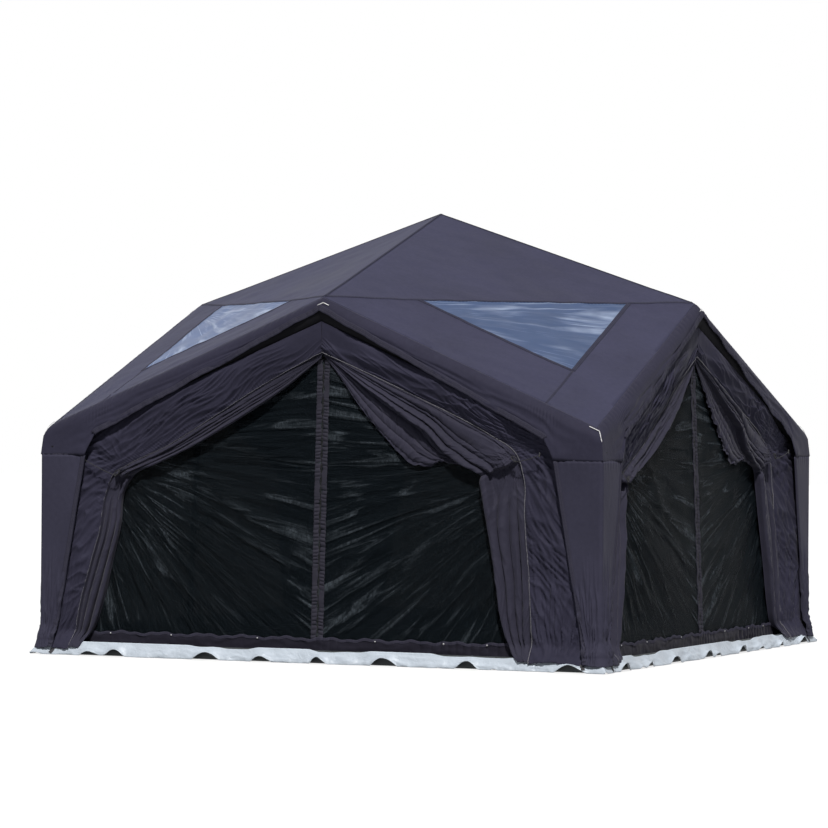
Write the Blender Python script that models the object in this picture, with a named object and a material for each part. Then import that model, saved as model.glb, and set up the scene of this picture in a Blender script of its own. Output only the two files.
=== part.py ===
# Four-gabled inflatable tent on a square plan. Air beams (legs, gable arches and a ridge
# cross) carry a sewn roof skin, and each side is a doorway with a zipped mesh screen and
# two tied-back curtains. Metres, +Z up, origin on the ground under the apex, front at -Y.
# Every side is drawn once as the front and turned about Z; every hip is drawn once as the
# front right one.
import math

import bmesh
import bpy
import numpy as np
from mathutils import Matrix, Vector

# Outline of the skin
HALF_SIDE = 2.0              # centre line to the outer face of a wall
BASE_HEIGHT = 0.085          # hem of the walls above the ground
EAVE_HEIGHT = 1.485          # corner where the roof skin meets two gables
SEAM_DROP = 0.165            # seam between leg cover and gable fairing, below the eave
SEAM_HEIGHT = EAVE_HEIGHT - SEAM_DROP
RIDGE_END_HEIGHT = 2.36      # where a ridge ends at its gable
RIDGE_END_SETBACK = 0.158    # that point behind the wall
APEX_HEIGHT = 2.98
GABLE_LEAN_SHARE = 0.09      # setback of a gable for each metre above the seam

# Cloth, film and clearances
SKIN = 0.003                 # roof and wall fabric
FILM = 0.0015                # skylight film
GAP = 0.0003                 # between touching pieces
SEW_GAP = 0.0006             # cloth laid round a beam

# Air beams
ARCH_RADIUS = 0.08
LEG_RADIUS = 0.078
RIDGE_RADIUS = 0.07
BEAM_SIDES = 24

# Hip panels and skylights, as shares of the line between two ridge ends
FRONT_BAND_SHARE = 0.25      # beside a front or back rafter
SIDE_BAND_SHARE = 0.175      # beside a left or right rafter

# Gable fairing and leg cover
FAIRING_ARC_STEPS = 5
FAIRING_STATIONS = 6         # from the peak to the slot corner
PEAK_HEM_DROP = 0.006        # hem below the round at the peak
SLOT_CORNER_WIDTH = 0.40     # slot corner from the tent's corner edge
SLOT_CORNER_RISE = 0.135     # that corner above the seam
COVER_TOP_WIDTH = 0.33       # leg cover at the seam
COVER_FOOT_WIDTH = 0.11      # leg cover at its hem

# Groundsheet, with an upstand and a ruffled skirt that hangs outside it
FLOOR_SHEET = 0.004
SKIRT_FLARE = 0.055          # skirt hem outside the wall
SKIRT_THICKNESS = 0.003
SKIRT_FOLD_DROP = 0.008      # fold at the top of the upstand
SKIRT_WAVE = 0.012           # ruffle in and out
SKIRT_LIFT = 0.026           # hem off the ground at a ruffle's crest
SKIRT_WAVES = 9              # main ruffles on one side
SKIRT_SMALL_WAVES = 13       # lesser ones laid over them
SKIRT_SMALL_SHARE = 0.5      # their height beside the main ones
SKIRT_STEPS = 36             # mesh steps on one side

# Doorway
DOOR_PEAK_HEIGHT = 2.035     # where both curtains gather

# Mesh screen
SCREEN_INSET = 0.075         # screen behind the wall at the ground
SCREEN_THICKNESS = 0.0016

# Zip: two tapes with a row of coil each, a slit between the rows for the slider's neck
ZIP_HALF_WIDTH = 0.043
ZIP_TOP_DROP = 0.085         # top stop below the door's peak
ZIP_TOP_HEIGHT = DOOR_PEAK_HEIGHT - ZIP_TOP_DROP
COIL_WIDTH = 0.0042
COIL_THICKNESS = 0.0036
ZIP_SLIT = 0.0018
STOP_LENGTH = 0.008
STOP_OVERHANG = 0.0006       # top stop past the coil, each way

# Slider and its pull tab
SLIDER_LENGTH = 0.026
SLIDER_HALF_WIDTH = 0.0085
SLIDER_TAIL_SHARE = 0.8      # width of its narrow end
SLIDER_PLATE = 0.0016
SLIDER_CLEARANCE = 0.0005    # plate to coil, lip to tape
SLIDER_LIP = 0.0014
NECK_WIDTH = 0.001
SLIDER_REST_HEIGHT = 0.14    # middle of the slider when the screen is shut
BRIDGE_LENGTH = 0.0125
BRIDGE_WIDTH = 0.0036
BRIDGE_BAR = 0.0014
TAB_WIRE = 0.0018            # cross bar of the pull tab
TAB_CLEARANCE = 0.0005
TAB_WIDTH = 0.0096
TAB_LENGTH = 0.046
TAB_EYE_LENGTH = 0.0125      # eye from the cross bar to the tongue

# Curtains
CLOTH = 0.003
CURTAIN_START_ANGLE = 35.0   # degrees round the beam from its outermost line
CURTAIN_LEAVE_ANGLE = 76.0   # where the cloth leaves the beam
CURTAIN_ARC_COLUMNS = 3
CURTAIN_COLUMNS = 8
RAFTER_ROWS = 11
LEG_ROWS = 10
CURTAIN_HEM_HEIGHT = 0.1
CURTAIN_FREE_DEPTH = 0.018   # free edge in front of the screen
FOLD_DEPTH = 0.016           # half height of a main fold
FOLD_START_SHARE = 0.35      # part of that height at the gathered end
FOLD_RISE_SHARE = 0.25       # part of the curtain's length over which folds grow to full height
FOLD_EDGE_SHARE = 0.7        # part of that height left at the free edge
TIE_SWELL = 0.03             # bundle standing proud at its tie
TIE_SPREAD_ROWS = 2.2        # rows over which that bundle fades

# Free edge of each curtain: shares of the half side out from the middle, and shares of
# the door peak's height above the hem, from the peak through the tie to the hem.
TIGHT_OUT_SHARES = (0.0, 0.17, 0.34, 0.52, 0.665, 0.70, 0.735, 0.77, 0.81)
TIGHT_UP_SHARES = (1.0, 0.90, 0.80, 0.695, 0.585, 0.46, 0.33, 0.18, 0.0)
SLACK_OUT_SHARES = (0.0, 0.07, 0.15, 0.28, 0.43, 0.575, 0.60, 0.63, 0.67)
SLACK_UP_SHARES = (1.0, 0.90, 0.785, 0.68, 0.635, 0.61, 0.43, 0.24, 0.0)
TIE_ROW_SHARE = 0.56         # place of the tie along those points
TIGHT_FOLDS = 2.5            # folds across each curtain
SLACK_FOLDS = 3.5

# Inflation valve on the back left leg, facing into the tent
VALVE_HEIGHT = 0.36
VALVE_FLANGE_RADIUS = 0.03
VALVE_FLANGE = 0.003
VALVE_NECK_RADIUS = 0.017
VALVE_NECK_LENGTH = 0.014
VALVE_BORE_RADIUS = 0.011
VALVE_BORE_DEPTH = 0.012
CAP_CLEARANCE = 0.0005
CAP_WALL = 0.0025
CAP_SKIRT = 0.006
LUG_WIDTH = 0.004
KNUCKLE_WIDTH = 0.005
PIN_RADIUS = 0.0014
KNUCKLE_RADIUS = 0.0032
VALVE_SIDES = 32

SIDE_NAMES = ("front", "right", "back", "left")
CORNER_NAMES = ("front_right", "back_right", "back_left", "front_left")

# Looks: colour, roughness, metallic and opacity
FABRIC_DARK = ((0.035, 0.033, 0.047), 0.62, 0.0, 1.0)
FABRIC_ROOF = ((0.052, 0.052, 0.08), 0.6, 0.0, 1.0)
FABRIC_CURTAIN = ((0.045, 0.04, 0.056), 0.55, 0.0, 1.0)
BEAM_SLEEVE = ((0.02, 0.02, 0.024), 0.7, 0.0, 1.0)
MESH_NET = ((0.012, 0.014, 0.016), 0.8, 0.0, 0.6)
CLEAR_FILM = ((0.16, 0.28, 0.5), 0.15, 0.0, 0.6)
SILVER_SHEET = ((0.5, 0.6, 0.72), 0.45, 0.0, 1.0)
ZIP_TAPE = ((0.03, 0.028, 0.036), 0.7, 0.0, 1.0)
ZIP_METAL = ((0.06, 0.06, 0.065), 0.35, 0.9, 1.0)
VALVE_PLASTIC = ((0.03, 0.03, 0.03), 0.4, 0.0, 1.0)

UP = np.array((0.0, 0.0, 1.0))
OUT = np.array((0.0, -1.0, 0.0))
ACROSS = np.array((1.0, 0.0, 0.0))


def unit(vector):
    vector = np.asarray(vector, float)
    return vector / np.linalg.norm(vector)


# A plane is its unit normal and its distance from the origin along it.
def plane_at(point, normal):
    normal = unit(normal)
    return normal, float(normal @ np.asarray(point, float))


def moved(plane, distance):
    return plane[0], plane[1] + distance


def meet(first, second, third):
    normals = np.array((first[0], second[0], third[0]))
    return np.linalg.solve(normals, np.array((first[1], second[1], third[1])))


def line_meets(point, direction, plane):
    return point + direction * ((plane[1] - plane[0] @ point) / (plane[0] @ direction))


# Planes of the front side and the front right hip
def turned(vector, quarter):
    x, y, z = vector
    for _ in range(quarter % 4):
        x, y = -y, x
    return np.array((x, y, z))


middle_plane = (ACROSS, 0.0)
corner_plane = plane_at((0.0, 0.0, 0.0), (1.0, 1.0, 0.0))
gable_plane = plane_at((0.0, -HALF_SIDE, SEAM_HEIGHT), (0.0, -1.0, GABLE_LEAN_SHARE))
eave_corner = meet(gable_plane, (UP, EAVE_HEIGHT), corner_plane)
ridge_end = np.array((0.0, RIDGE_END_SETBACK - HALF_SIDE, RIDGE_END_HEIGHT))
next_ridge_end = turned(ridge_end, 1)
apex = np.array((0.0, 0.0, APEX_HEIGHT))
hip_plane = plane_at(ridge_end, np.cross(eave_corner - ridge_end, next_ridge_end - ridge_end))
top_plane = plane_at(apex, np.cross(ridge_end - apex, next_ridge_end - apex))
crease_plane = plane_at(ridge_end, np.cross(next_ridge_end - ridge_end, hip_plane[0] + top_plane[0]))

# The arch's axis lies inside the fold between hip and gable. The skin's round is a row of
# flats, so it stands off the beam by a little more than the gap.
skin_turn = math.acos(float(hip_plane[0] @ gable_plane[0]))
skin_inner_radius = (ARCH_RADIUS + GAP) / math.cos(skin_turn / FAIRING_ARC_STEPS / 2)
skin_outer_radius = skin_inner_radius + SKIN
axis_hip = moved(hip_plane, -skin_outer_radius)
axis_gable = moved(gable_plane, -skin_outer_radius)
arch_peak = meet(axis_hip, axis_gable, middle_plane)
arch_corner = meet(axis_hip, axis_gable, corner_plane)
rafter_way = unit(arch_corner - arch_peak)
leg_axis = HALF_SIDE - SKIN - GAP - LEG_RADIUS
floor_top = FLOOR_SHEET

# The screen leans from its foot to the arch's axis at the peak.
screen_foot = np.array((0.0, SCREEN_INSET - HALF_SIDE, 0.0))
screen_way = unit(arch_peak - screen_foot)
screen_out = unit(np.cross(ACROSS, screen_way))
screen_plane = plane_at(screen_foot, screen_out)


def material(name, look):
    colour, roughness, metallic, opacity = look
    made = bpy.data.materials.new(name)
    made.use_nodes = True
    shader = made.node_tree.nodes["Principled BSDF"]
    shader.inputs["Base Color"].default_value = (*colour, 1.0)
    shader.inputs["Roughness"].default_value = roughness
    shader.inputs["Metallic"].default_value = metallic
    shader.inputs["Alpha"].default_value = opacity
    made.diffuse_color = (*colour, opacity)
    return made


def place(name, mesh, look, quarter=0, parent=None, smooth=0.0):
    made = bpy.data.objects.new(name, mesh)
    bpy.context.collection.objects.link(made)
    made.data.materials.clear()
    made.data.materials.append(material(name, look))
    if smooth:
        mesh.shade_smooth()
        mesh.set_sharp_from_angle(angle=math.radians(smooth))
    if parent:
        made.parent = parent
    else:
        made.rotation_euler = (0.0, 0.0, quarter * math.pi / 2)
    return made


def to_mesh(bm, name):
    bmesh.ops.recalc_face_normals(bm, faces=bm.faces)
    mesh = bpy.data.meshes.new(name)
    bm.to_mesh(mesh)
    bm.free()
    return mesh


def mesh_from(name, points, faces):
    bm = bmesh.new()
    corners = [bm.verts.new(tuple(point)) for point in points]
    for face in faces:
        bm.faces.new([corners[i] for i in face])
    return to_mesh(bm, name)


# A closed solid from planes that all face outwards
def solid_from_planes(name, planes):
    bm = bmesh.new()
    bmesh.ops.create_cube(bm, size=4 * (HALF_SIDE + APEX_HEIGHT))
    for normal, distance in planes:
        everything = bm.verts[:] + bm.edges[:] + bm.faces[:]
        cut = bmesh.ops.bisect_plane(bm, geom=everything, dist=GAP / 100, plane_co=Vector(normal * distance),
                                     plane_no=Vector(normal), clear_outer=True)
        rim = [item for item in cut["geom_cut"] if isinstance(item, bmesh.types.BMEdge)]
        if rim:
            bmesh.ops.edgeloop_fill(bm, edges=rim)
    return to_mesh(bm, name)


# Loops of points of equal count, joined in order; closed ends unless the loops form a ring
def loft(name, loops, ring=False):
    count = len(loops[0])
    points = [point for loop in loops for point in loop]
    faces = []
    turns = len(loops) if ring else len(loops) - 1
    for i in range(turns):
        here = i * count
        there = (i + 1) % len(loops) * count
        for j in range(count):
            k = (j + 1) % count
            faces.append((here + j, here + k, there + k, there + j))
    if not ring:
        faces.append(tuple(range(count - 1, -1, -1)))
        faces.append(tuple(range((len(loops) - 1) * count, len(loops) * count)))
    return mesh_from(name, points, faces)


# A sheet of two grids of points, front and back, closed round its rim
def closed_sheet(name, front, back):
    rows, columns = front.shape[:2]
    points = np.concatenate((front.reshape(-1, 3), back.reshape(-1, 3)))
    shift = rows * columns
    faces = []
    for i in range(rows - 1):
        for j in range(columns - 1):
            a = i * columns + j
            b, c, d = a + 1, a + columns + 1, a + columns
            faces.append((a, b, c, d))
            faces.append((shift + d, shift + c, shift + b, shift + a))
    rim = [j for j in range(columns)]
    rim += [i * columns + columns - 1 for i in range(1, rows)]
    rim += [(rows - 1) * columns + j for j in range(columns - 2, -1, -1)]
    rim += [i * columns for i in range(rows - 2, 0, -1)]
    for here, there in zip(rim, rim[1:] + rim[:1]):
        faces.append((there, here, shift + here, shift + there))
    return mesh_from(name, points, faces)


def combined(first, second, operation):
    target = bpy.data.objects.new("work_target", first)
    tool = bpy.data.objects.new("work_tool", second)
    for item in (target, tool):
        bpy.context.collection.objects.link(item)
        item.hide_render = True
        item.display_type = "WIRE"
    step = target.modifiers.new("cut", "BOOLEAN")
    step.operation = operation
    step.solver = "EXACT"
    step.object = tool
    bpy.context.view_layer.update()
    depsgraph = bpy.context.evaluated_depsgraph_get()
    result = bpy.data.meshes.new_from_object(target.evaluated_get(depsgraph))
    result.name = first.name
    for item in (target, tool):
        bpy.data.objects.remove(item)
    return result


def turned_mesh(mesh, quarter):
    copy = mesh.copy()
    copy.transform(Matrix.Rotation(quarter * math.pi / 2, 4, "Z"))
    return copy


def block(name, low, high, frame=None):
    bm = bmesh.new()
    bmesh.ops.create_cube(bm, size=1.0)
    low = np.asarray(low, float)
    high = np.asarray(high, float)
    for vertex in bm.verts:
        vertex.co = Vector(low + (np.array(vertex.co) + 0.5) * (high - low))
    mesh = to_mesh(bm, name)
    if frame is not None:
        mesh.transform(frame)
    return mesh


# Round beam along a bent line, mitred at its bends
def beam(name, line, radius, sides=BEAM_SIDES):
    line = [np.asarray(point, float) for point in line]
    ways = [unit(b - a) for a, b in zip(line, line[1:])]
    aside = unit(np.cross(ways[0], UP if abs(ways[0] @ UP) < math.sqrt(0.5) else ACROSS))
    loops = []
    for i, point in enumerate(line):
        before = ways[max(i - 1, 0)]
        after = ways[min(i, len(ways) - 1)]
        seat = plane_at(point, before + after)
        above = np.cross(aside, before)
        loop = []
        for j in range(sides):
            angle = 2 * math.pi * j / sides
            start = point + radius * (math.cos(angle) * aside + math.sin(angle) * above)
            loop.append(line_meets(start, before, seat))
        loops.append(loop)
    return loft(name, loops)


def cut_by(mesh, planes):
    bm = bmesh.new()
    bm.from_mesh(mesh)
    for normal, distance in planes:
        everything = bm.verts[:] + bm.edges[:] + bm.faces[:]
        cut = bmesh.ops.bisect_plane(bm, geom=everything, dist=GAP / 100, plane_co=Vector(normal * distance),
                                     plane_no=Vector(normal), clear_outer=True)
        rim = [item for item in cut["geom_cut"] if isinstance(item, bmesh.types.BMEdge)]
        if rim:
            bmesh.ops.edgeloop_fill(bm, edges=rim)
    return to_mesh(bm, mesh.name)


def mirrored(vector):
    return np.array((-vector[0], vector[1], vector[2]))


# Four equal round arms that meet over the middle along the two diagonals
def four_arms(name, foot, way, radius):
    above = np.cross(ACROSS, way)
    root = []
    tip = []
    for j in range(BEAM_SIDES):
        angle = 2 * math.pi * j / BEAM_SIDES
        start = foot + radius * (math.cos(angle) * ACROSS + math.sin(angle) * above)
        side = 1.0 if start[0] > 0 else -1.0
        root.append(start)
        tip.append(line_meets(start, way, ((side, 1.0, 0.0), 0.0)))
    bm = bmesh.new()
    for quarter in range(4):
        near = [bm.verts.new(tuple(turned(point, quarter))) for point in root]
        far = [bm.verts.new(tuple(turned(point, quarter))) for point in tip]
        bm.faces.new(near)
        for j in range(BEAM_SIDES):
            k = (j + 1) % BEAM_SIDES
            bm.faces.new((near[j], near[k], far[k], far[j]))
    bmesh.ops.remove_doubles(bm, verts=bm.verts, dist=GAP / 10)
    return to_mesh(bm, name)


# Gable arches: two rafters in one beam, mitred against their neighbours at the corners.
# Legs stop under them, and the ridge cross runs from peak to peak.
def arch_mesh(name, radius, overrun):
    end = arch_corner + rafter_way * overrun
    return beam(name, (mirrored(end), arch_peak, end), radius)


def make_air_frame():
    overrun = 3 * ARCH_RADIUS
    arch = arch_mesh("gable_arch", ARCH_RADIUS, overrun)
    right_side = moved(corner_plane, -GAP / 2)
    left_side = (mirrored(right_side[0]), right_side[1])
    arch = cut_by(arch, (right_side, left_side))
    room = arch_mesh("arch_room", ARCH_RADIUS + GAP, overrun)

    leg_spot = np.array((leg_axis, -leg_axis, 0.0))
    leg = beam("air_leg", (leg_spot + UP * (floor_top + GAP), leg_spot + UP * arch_corner[2]), LEG_RADIUS)
    leg = combined(leg, room, "DIFFERENCE")
    leg = combined(leg, turned_mesh(room, 1), "DIFFERENCE")
    under_cloth = moved(gable_plane, -SKIN - CLOTH - 3 * SEW_GAP)
    leg = cut_by(leg, (under_cloth, (turned(under_cloth[0], 1), under_cloth[1])))

    # The ridge beam touches both top panels that it carries.
    half_turn = math.acos(float(top_plane[0] @ unit(top_plane[0] + mirrored(top_plane[0]))))
    drop = (RIDGE_RADIUS + GAP + SKIN) / math.cos(half_turn)
    down = -unit(top_plane[0] + mirrored(top_plane[0])) * drop
    ridge_way = unit(ridge_end - apex)
    ridge_top = line_meets(apex + down, ridge_way, (OUT, 0.0))
    ridge_foot = line_meets(ridge_top, ridge_way, (OUT, float(OUT @ arch_peak)))
    cross = four_arms("ridge_cross", ridge_foot, ridge_way, RIDGE_RADIUS)
    for quarter in range(4):
        cross = combined(cross, turned_mesh(room, quarter), "DIFFERENCE")
    # Its ends are shaved where they would stand through the hips.
    hip_side = [(-hip_plane[0], SKIN + GAP - hip_plane[1]), (-crease_plane[0], -crease_plane[1])]
    shaving = solid_from_planes("hip_side", hip_side)
    for quarter in range(4):
        cross = combined(cross, turned_mesh(shaving, quarter), "DIFFERENCE")

    for quarter in range(4):
        place("gable_arch_" + SIDE_NAMES[quarter], arch, BEAM_SLEEVE, quarter)
        place("air_leg_" + CORNER_NAMES[quarter], leg, BEAM_SLEEVE, quarter)
    place("ridge_cross", cross, BEAM_SLEEVE)


def faces_of(plane, thickness):
    inner = moved(plane, -thickness)
    return [plane, (-inner[0], -inner[1])]


# A side plane through an edge, square to the panel or along a given slope, drawn in by
# half a gap. The inside point tells which way is out.
def edge_plane(start, end, slope, inside):
    plane = plane_at(start, np.cross(np.asarray(end) - start, slope))
    if plane[0] @ inside > plane[1]:
        plane = (-plane[0], -plane[1])
    return moved(plane, -GAP / 2)


def make_top_panels():
    ridge_side = (-ACROSS, -GAP / 2)
    other_ridge_side = (turned(ACROSS, 1), -GAP / 2)
    centre = (apex + ridge_end + next_ridge_end) / 3
    lower = edge_plane(ridge_end, next_ridge_end, hip_plane[0] + top_plane[0], centre)
    planes = faces_of(top_plane, SKIN) + [ridge_side, other_ridge_side, lower]
    panel = solid_from_planes("top_panel", planes)
    for quarter in range(4):
        place("top_panel_" + CORNER_NAMES[quarter], panel, FABRIC_ROOF, quarter)


# Each hip: a band beside each rafter and the skylight between them. The side band takes in
# the corner, and the seam from the skylight's point to the rafter is its edge run on.
def hip_points(near_share, far_share, corner_on_far):
    near_edge = line_meets(arch_peak + hip_plane[0] * skin_outer_radius, rafter_way, middle_plane)
    near_corner = line_meets(near_edge, rafter_way, corner_plane)
    span = next_ridge_end - ridge_end
    near_window = ridge_end + span * near_share
    far_window = next_ridge_end - span * far_share
    far_way = turned(mirrored(rafter_way), 1)
    far_edge = turned(mirrored(near_edge), 1)
    side = plane_at(far_window, np.cross(hip_plane[0], far_way))
    window_point = line_meets(near_window, rafter_way, side)
    if corner_on_far:
        seam_end = line_meets(near_edge, rafter_way, side)
    else:
        near_side = plane_at(near_window, np.cross(hip_plane[0], rafter_way))
        seam_end = line_meets(far_edge, far_way, near_side)
    return near_edge, far_edge, near_corner, near_window, far_window, window_point, seam_end


def make_hip_panels():
    square = hip_plane[0]
    slope = hip_plane[0] + top_plane[0]
    for quarter in range(4):
        corner_on_far = quarter % 2 == 0
        near_share = FRONT_BAND_SHARE if corner_on_far else SIDE_BAND_SHARE
        far_share = SIDE_BAND_SHARE if corner_on_far else FRONT_BAND_SHARE
        near_edge, far_edge, corner, near_window, far_window, point, seam_end = hip_points(
            near_share, far_share, corner_on_far)
        film_centre = (near_window + far_window + point) / 3
        near_centre = (ridge_end + near_edge + near_window + point) / 4
        far_centre = (next_ridge_end + far_edge + far_window + point) / 4
        skin_faces = faces_of(hip_plane, SKIN)
        near = skin_faces + [
            edge_plane(ridge_end, near_window, slope, near_centre),
            edge_plane(ridge_end, near_edge, UP, near_centre),
            edge_plane(near_edge, corner, square, near_centre),
            edge_plane(near_window, point, square, near_centre),
        ]
        far = skin_faces + [
            edge_plane(next_ridge_end, far_window, slope, far_centre),
            edge_plane(next_ridge_end, far_edge, UP, far_centre),
            edge_plane(far_edge, corner, square, far_centre),
            edge_plane(far_window, point, square, far_centre),
        ]
        if corner_on_far:
            near.append(edge_plane(point, seam_end, square, near_centre))
            far.append(edge_plane(near_edge, corner, square, far_centre))
        else:
            far.append(edge_plane(point, seam_end, square, far_centre))
            near.append(edge_plane(far_edge, corner, square, near_centre))
        film = faces_of(hip_plane, FILM) + [
            edge_plane(near_window, far_window, slope, film_centre),
            edge_plane(near_window, point, square, film_centre),
            edge_plane(far_window, point, square, film_centre),
        ]
        here = CORNER_NAMES[quarter]
        near_side = SIDE_NAMES[quarter]
        far_side = SIDE_NAMES[(quarter + 1) % 4]
        names = ("hip_band_" + here + "_by_" + near_side, "hip_band_" + here + "_by_" + far_side)
        place(names[0], solid_from_planes(names[0], near), FABRIC_ROOF, quarter)
        place(names[1], solid_from_planes(names[1], far), FABRIC_ROOF, quarter)
        place("skylight_" + here, solid_from_planes("skylight_" + here, film), CLEAR_FILM, quarter)


# Gable fairing: the skin wraps the arch and hangs down in the gable's plane to its hem.
# At the corner it drops to the seam over the leg cover.
def make_fairings():
    edge = moved(corner_plane, -GAP / 2)
    slot_out = HALF_SIDE - SLOT_CORNER_WIDTH
    panel_out = HALF_SIDE - COVER_TOP_WIDTH
    hem_level = (UP, SEAM_HEIGHT + GAP / 2)
    tangent = arch_peak + gable_plane[0] * skin_outer_radius
    peak_hem = meet(gable_plane, middle_plane, (UP, tangent[2] - PEAK_HEM_DROP))
    slot_corner = meet(gable_plane, (ACROSS, slot_out), (UP, SEAM_HEIGHT + SLOT_CORNER_RISE))
    seam_inner = meet(gable_plane, (ACROSS, panel_out), hem_level)
    seam_outer = meet(gable_plane, edge, hem_level)
    start_side = plane_at((0.0, 0.0, 0.0), ACROSS)
    shares = [i / FAIRING_STATIONS for i in range(FAIRING_STATIONS + 1)]
    far_out = float(seam_outer[0])
    outs = [share * slot_out / far_out for share in shares] + [panel_out / far_out, 1.0]
    hem = [peak_hem + (slot_corner - peak_hem) * share for share in shares] + [seam_inner, seam_outer]

    def lines(radius, depth):
        columns = []
        for i in range(FAIRING_ARC_STEPS + 1):
            share = i / FAIRING_ARC_STEPS
            way = (math.sin((1 - share) * skin_turn) * hip_plane[0]
                   + math.sin(share * skin_turn) * gable_plane[0]) / math.sin(skin_turn)
            spot = arch_peak + way * radius
            if i == 0:
                spot = spot + np.cross(rafter_way, hip_plane[0]) * GAP / 2
            start = line_meets(spot, rafter_way, start_side)
            end = line_meets(spot, rafter_way, edge)
            columns.append([start + (end - start) * out for out in outs])
        last = [point - gable_plane[0] * depth for point in hem]
        last[-1] = meet(moved(gable_plane, -depth), edge, hem_level)
        columns.append(last)
        half = np.array(columns).transpose(1, 0, 2)
        other = half[:0:-1] * np.array((-1.0, 1.0, 1.0))
        return np.concatenate((other, half))

    mesh = closed_sheet("gable_fairing", lines(skin_outer_radius, 0.0), lines(skin_inner_radius, SKIN))
    for quarter in range(4):
        place("gable_fairing_" + SIDE_NAMES[quarter], mesh, FABRIC_DARK, quarter, smooth=35.0)


# Leg cover: one strip folded round the corner, narrow at its foot
def make_leg_covers():
    loops = []
    foot = (BASE_HEIGHT + GAP, COVER_FOOT_WIDTH)
    top = (SEAM_HEIGHT - GAP / 2, COVER_TOP_WIDTH)
    for height, width in (foot, top):
        outer = HALF_SIDE
        inner = HALF_SIDE - SKIN
        edge = HALF_SIDE - width
        plan = ((edge, -outer), (outer, -outer), (outer, -edge),
                (inner, -edge), (inner, -inner), (edge, -inner))
        loops.append([np.array((x, y, height)) for x, y in plan])
    mesh = loft("leg_cover", loops)
    for quarter in range(4):
        place("leg_cover_" + CORNER_NAMES[quarter], mesh, FABRIC_DARK, quarter)


# Groundsheet: flat floor, upstand to the wall's hem, and a skirt that hangs outside it
def make_groundsheet():
    def ruffle(turn):
        main = math.sin(2 * math.pi * SKIRT_WAVES * turn)
        small = math.sin(2 * math.pi * SKIRT_SMALL_WAVES * turn)
        return (main + SKIRT_SMALL_SHARE * small) / (1.0 + SKIRT_SMALL_SHARE)

    def loop(reach, height, wave, lift):
        points = []
        for quarter in range(4):
            for step in range(SKIRT_STEPS):
                turn = step / SKIRT_STEPS
                swing = ruffle(turn)
                out = reach + wave * swing
                along = (2 * turn - 1) * out
                rise = height + lift * max(swing, 0.0)
                points.append(turned((along, -out, rise), quarter))
        return points

    outer = HALF_SIDE
    inner = HALF_SIDE - SKIN
    hem = HALF_SIDE + SKIRT_FLARE
    mesh = loft("groundsheet", (
        loop(outer, 0.0, 0.0, 0.0),
        loop(outer, BASE_HEIGHT - SKIRT_FOLD_DROP, 0.0, 0.0),
        loop(hem, 0.0, SKIRT_WAVE, SKIRT_LIFT),
        loop(hem + SKIRT_THICKNESS, 0.0, SKIRT_WAVE, SKIRT_LIFT),
        loop(outer + SKIRT_THICKNESS, BASE_HEIGHT, 0.0, 0.0),
        loop(inner, BASE_HEIGHT, 0.0, 0.0),
        loop(inner, FLOOR_SHEET, 0.0, 0.0),
    ))
    place("groundsheet", mesh, SILVER_SHEET)


# The screen's own frame: to the left, out of the tent, up along the screen
def screen_frame(height):
    spot = screen_foot + screen_way * (height / screen_way[2])
    frame = Matrix.Identity(4)
    for i, axis in enumerate((-ACROSS, screen_out, screen_way)):
        for j in range(3):
            frame[j][i] = axis[j]
    frame.translation = Vector(spot)
    return frame


def make_screens():
    half = SCREEN_THICKNESS / 2
    outer = moved(screen_plane, half)
    side = leg_axis - LEG_RADIUS - GAP
    upper = plane_at(arch_peak, np.cross(screen_out, rafter_way))
    if upper[0][2] < 0:
        upper = (-upper[0], -upper[1])
    upper = moved(upper, -(ARCH_RADIUS + GAP))
    other_upper = (mirrored(upper[0]), upper[1])
    planes = faces_of(outer, SCREEN_THICKNESS) + [
        (-UP, -(floor_top + GAP)), (ACROSS, side), (-ACROSS, side), upper, other_upper]
    screen = solid_from_planes("mesh_screen", planes)
    zip_length = ZIP_TOP_HEIGHT / screen_way[2]
    slot = block("zip_slot", (-ZIP_HALF_WIDTH - GAP, -COIL_THICKNESS, -COIL_THICKNESS),
                 (ZIP_HALF_WIDTH + GAP, COIL_THICKNESS, zip_length + GAP), screen_frame(0.0))
    screen = combined(screen, slot, "DIFFERENCE")
    for quarter in range(4):
        place("mesh_screen_" + SIDE_NAMES[quarter], screen, MESH_NET, quarter)


# One half of the zip is a tape with a thick edge; the top stop joins both halves.
def make_zips():
    tape = SCREEN_THICKNESS / 2
    coil = COIL_THICKNESS / 2
    inner = ZIP_SLIT / 2
    bead = inner + COIL_WIDTH
    start = (floor_top + 2 * GAP) / screen_way[2]
    end = ZIP_TOP_HEIGHT / screen_way[2]
    profile = ((inner, -coil), (bead, -coil), (bead, -tape), (ZIP_HALF_WIDTH, -tape),
               (ZIP_HALF_WIDTH, tape), (bead, tape), (bead, coil), (inner, coil))

    def half(sign):
        outline = [(sign * x, n) for x, n in profile]
        return loft("zip", [[(x, n, height) for x, n in outline] for height in (start, end - STOP_OVERHANG)])

    frame = screen_frame(0.0)
    halves = (half(1.0), half(-1.0))
    reach = bead + STOP_OVERHANG
    stop = block("zip_stop", (-reach, -coil - STOP_OVERHANG, end - STOP_LENGTH),
                 (reach, coil + STOP_OVERHANG, end))
    zipper = combined(combined(stop, halves[0], "UNION"), halves[1], "UNION")
    zipper.transform(frame)
    for quarter in range(4):
        place("door_zip_" + SIDE_NAMES[quarter], zipper, ZIP_TAPE, quarter)


# Slider: two plates joined by a neck in the zip's slit, with lips beside the coil and a
# bridge that holds the pull tab. Both are drawn about the tab's hinge.
def slider_plate_front():
    return COIL_THICKNESS / 2 + SLIDER_CLEARANCE + SLIDER_PLATE


def tab_axis_out():
    return slider_plate_front() + TAB_CLEARANCE + TAB_WIRE / 2


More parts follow.
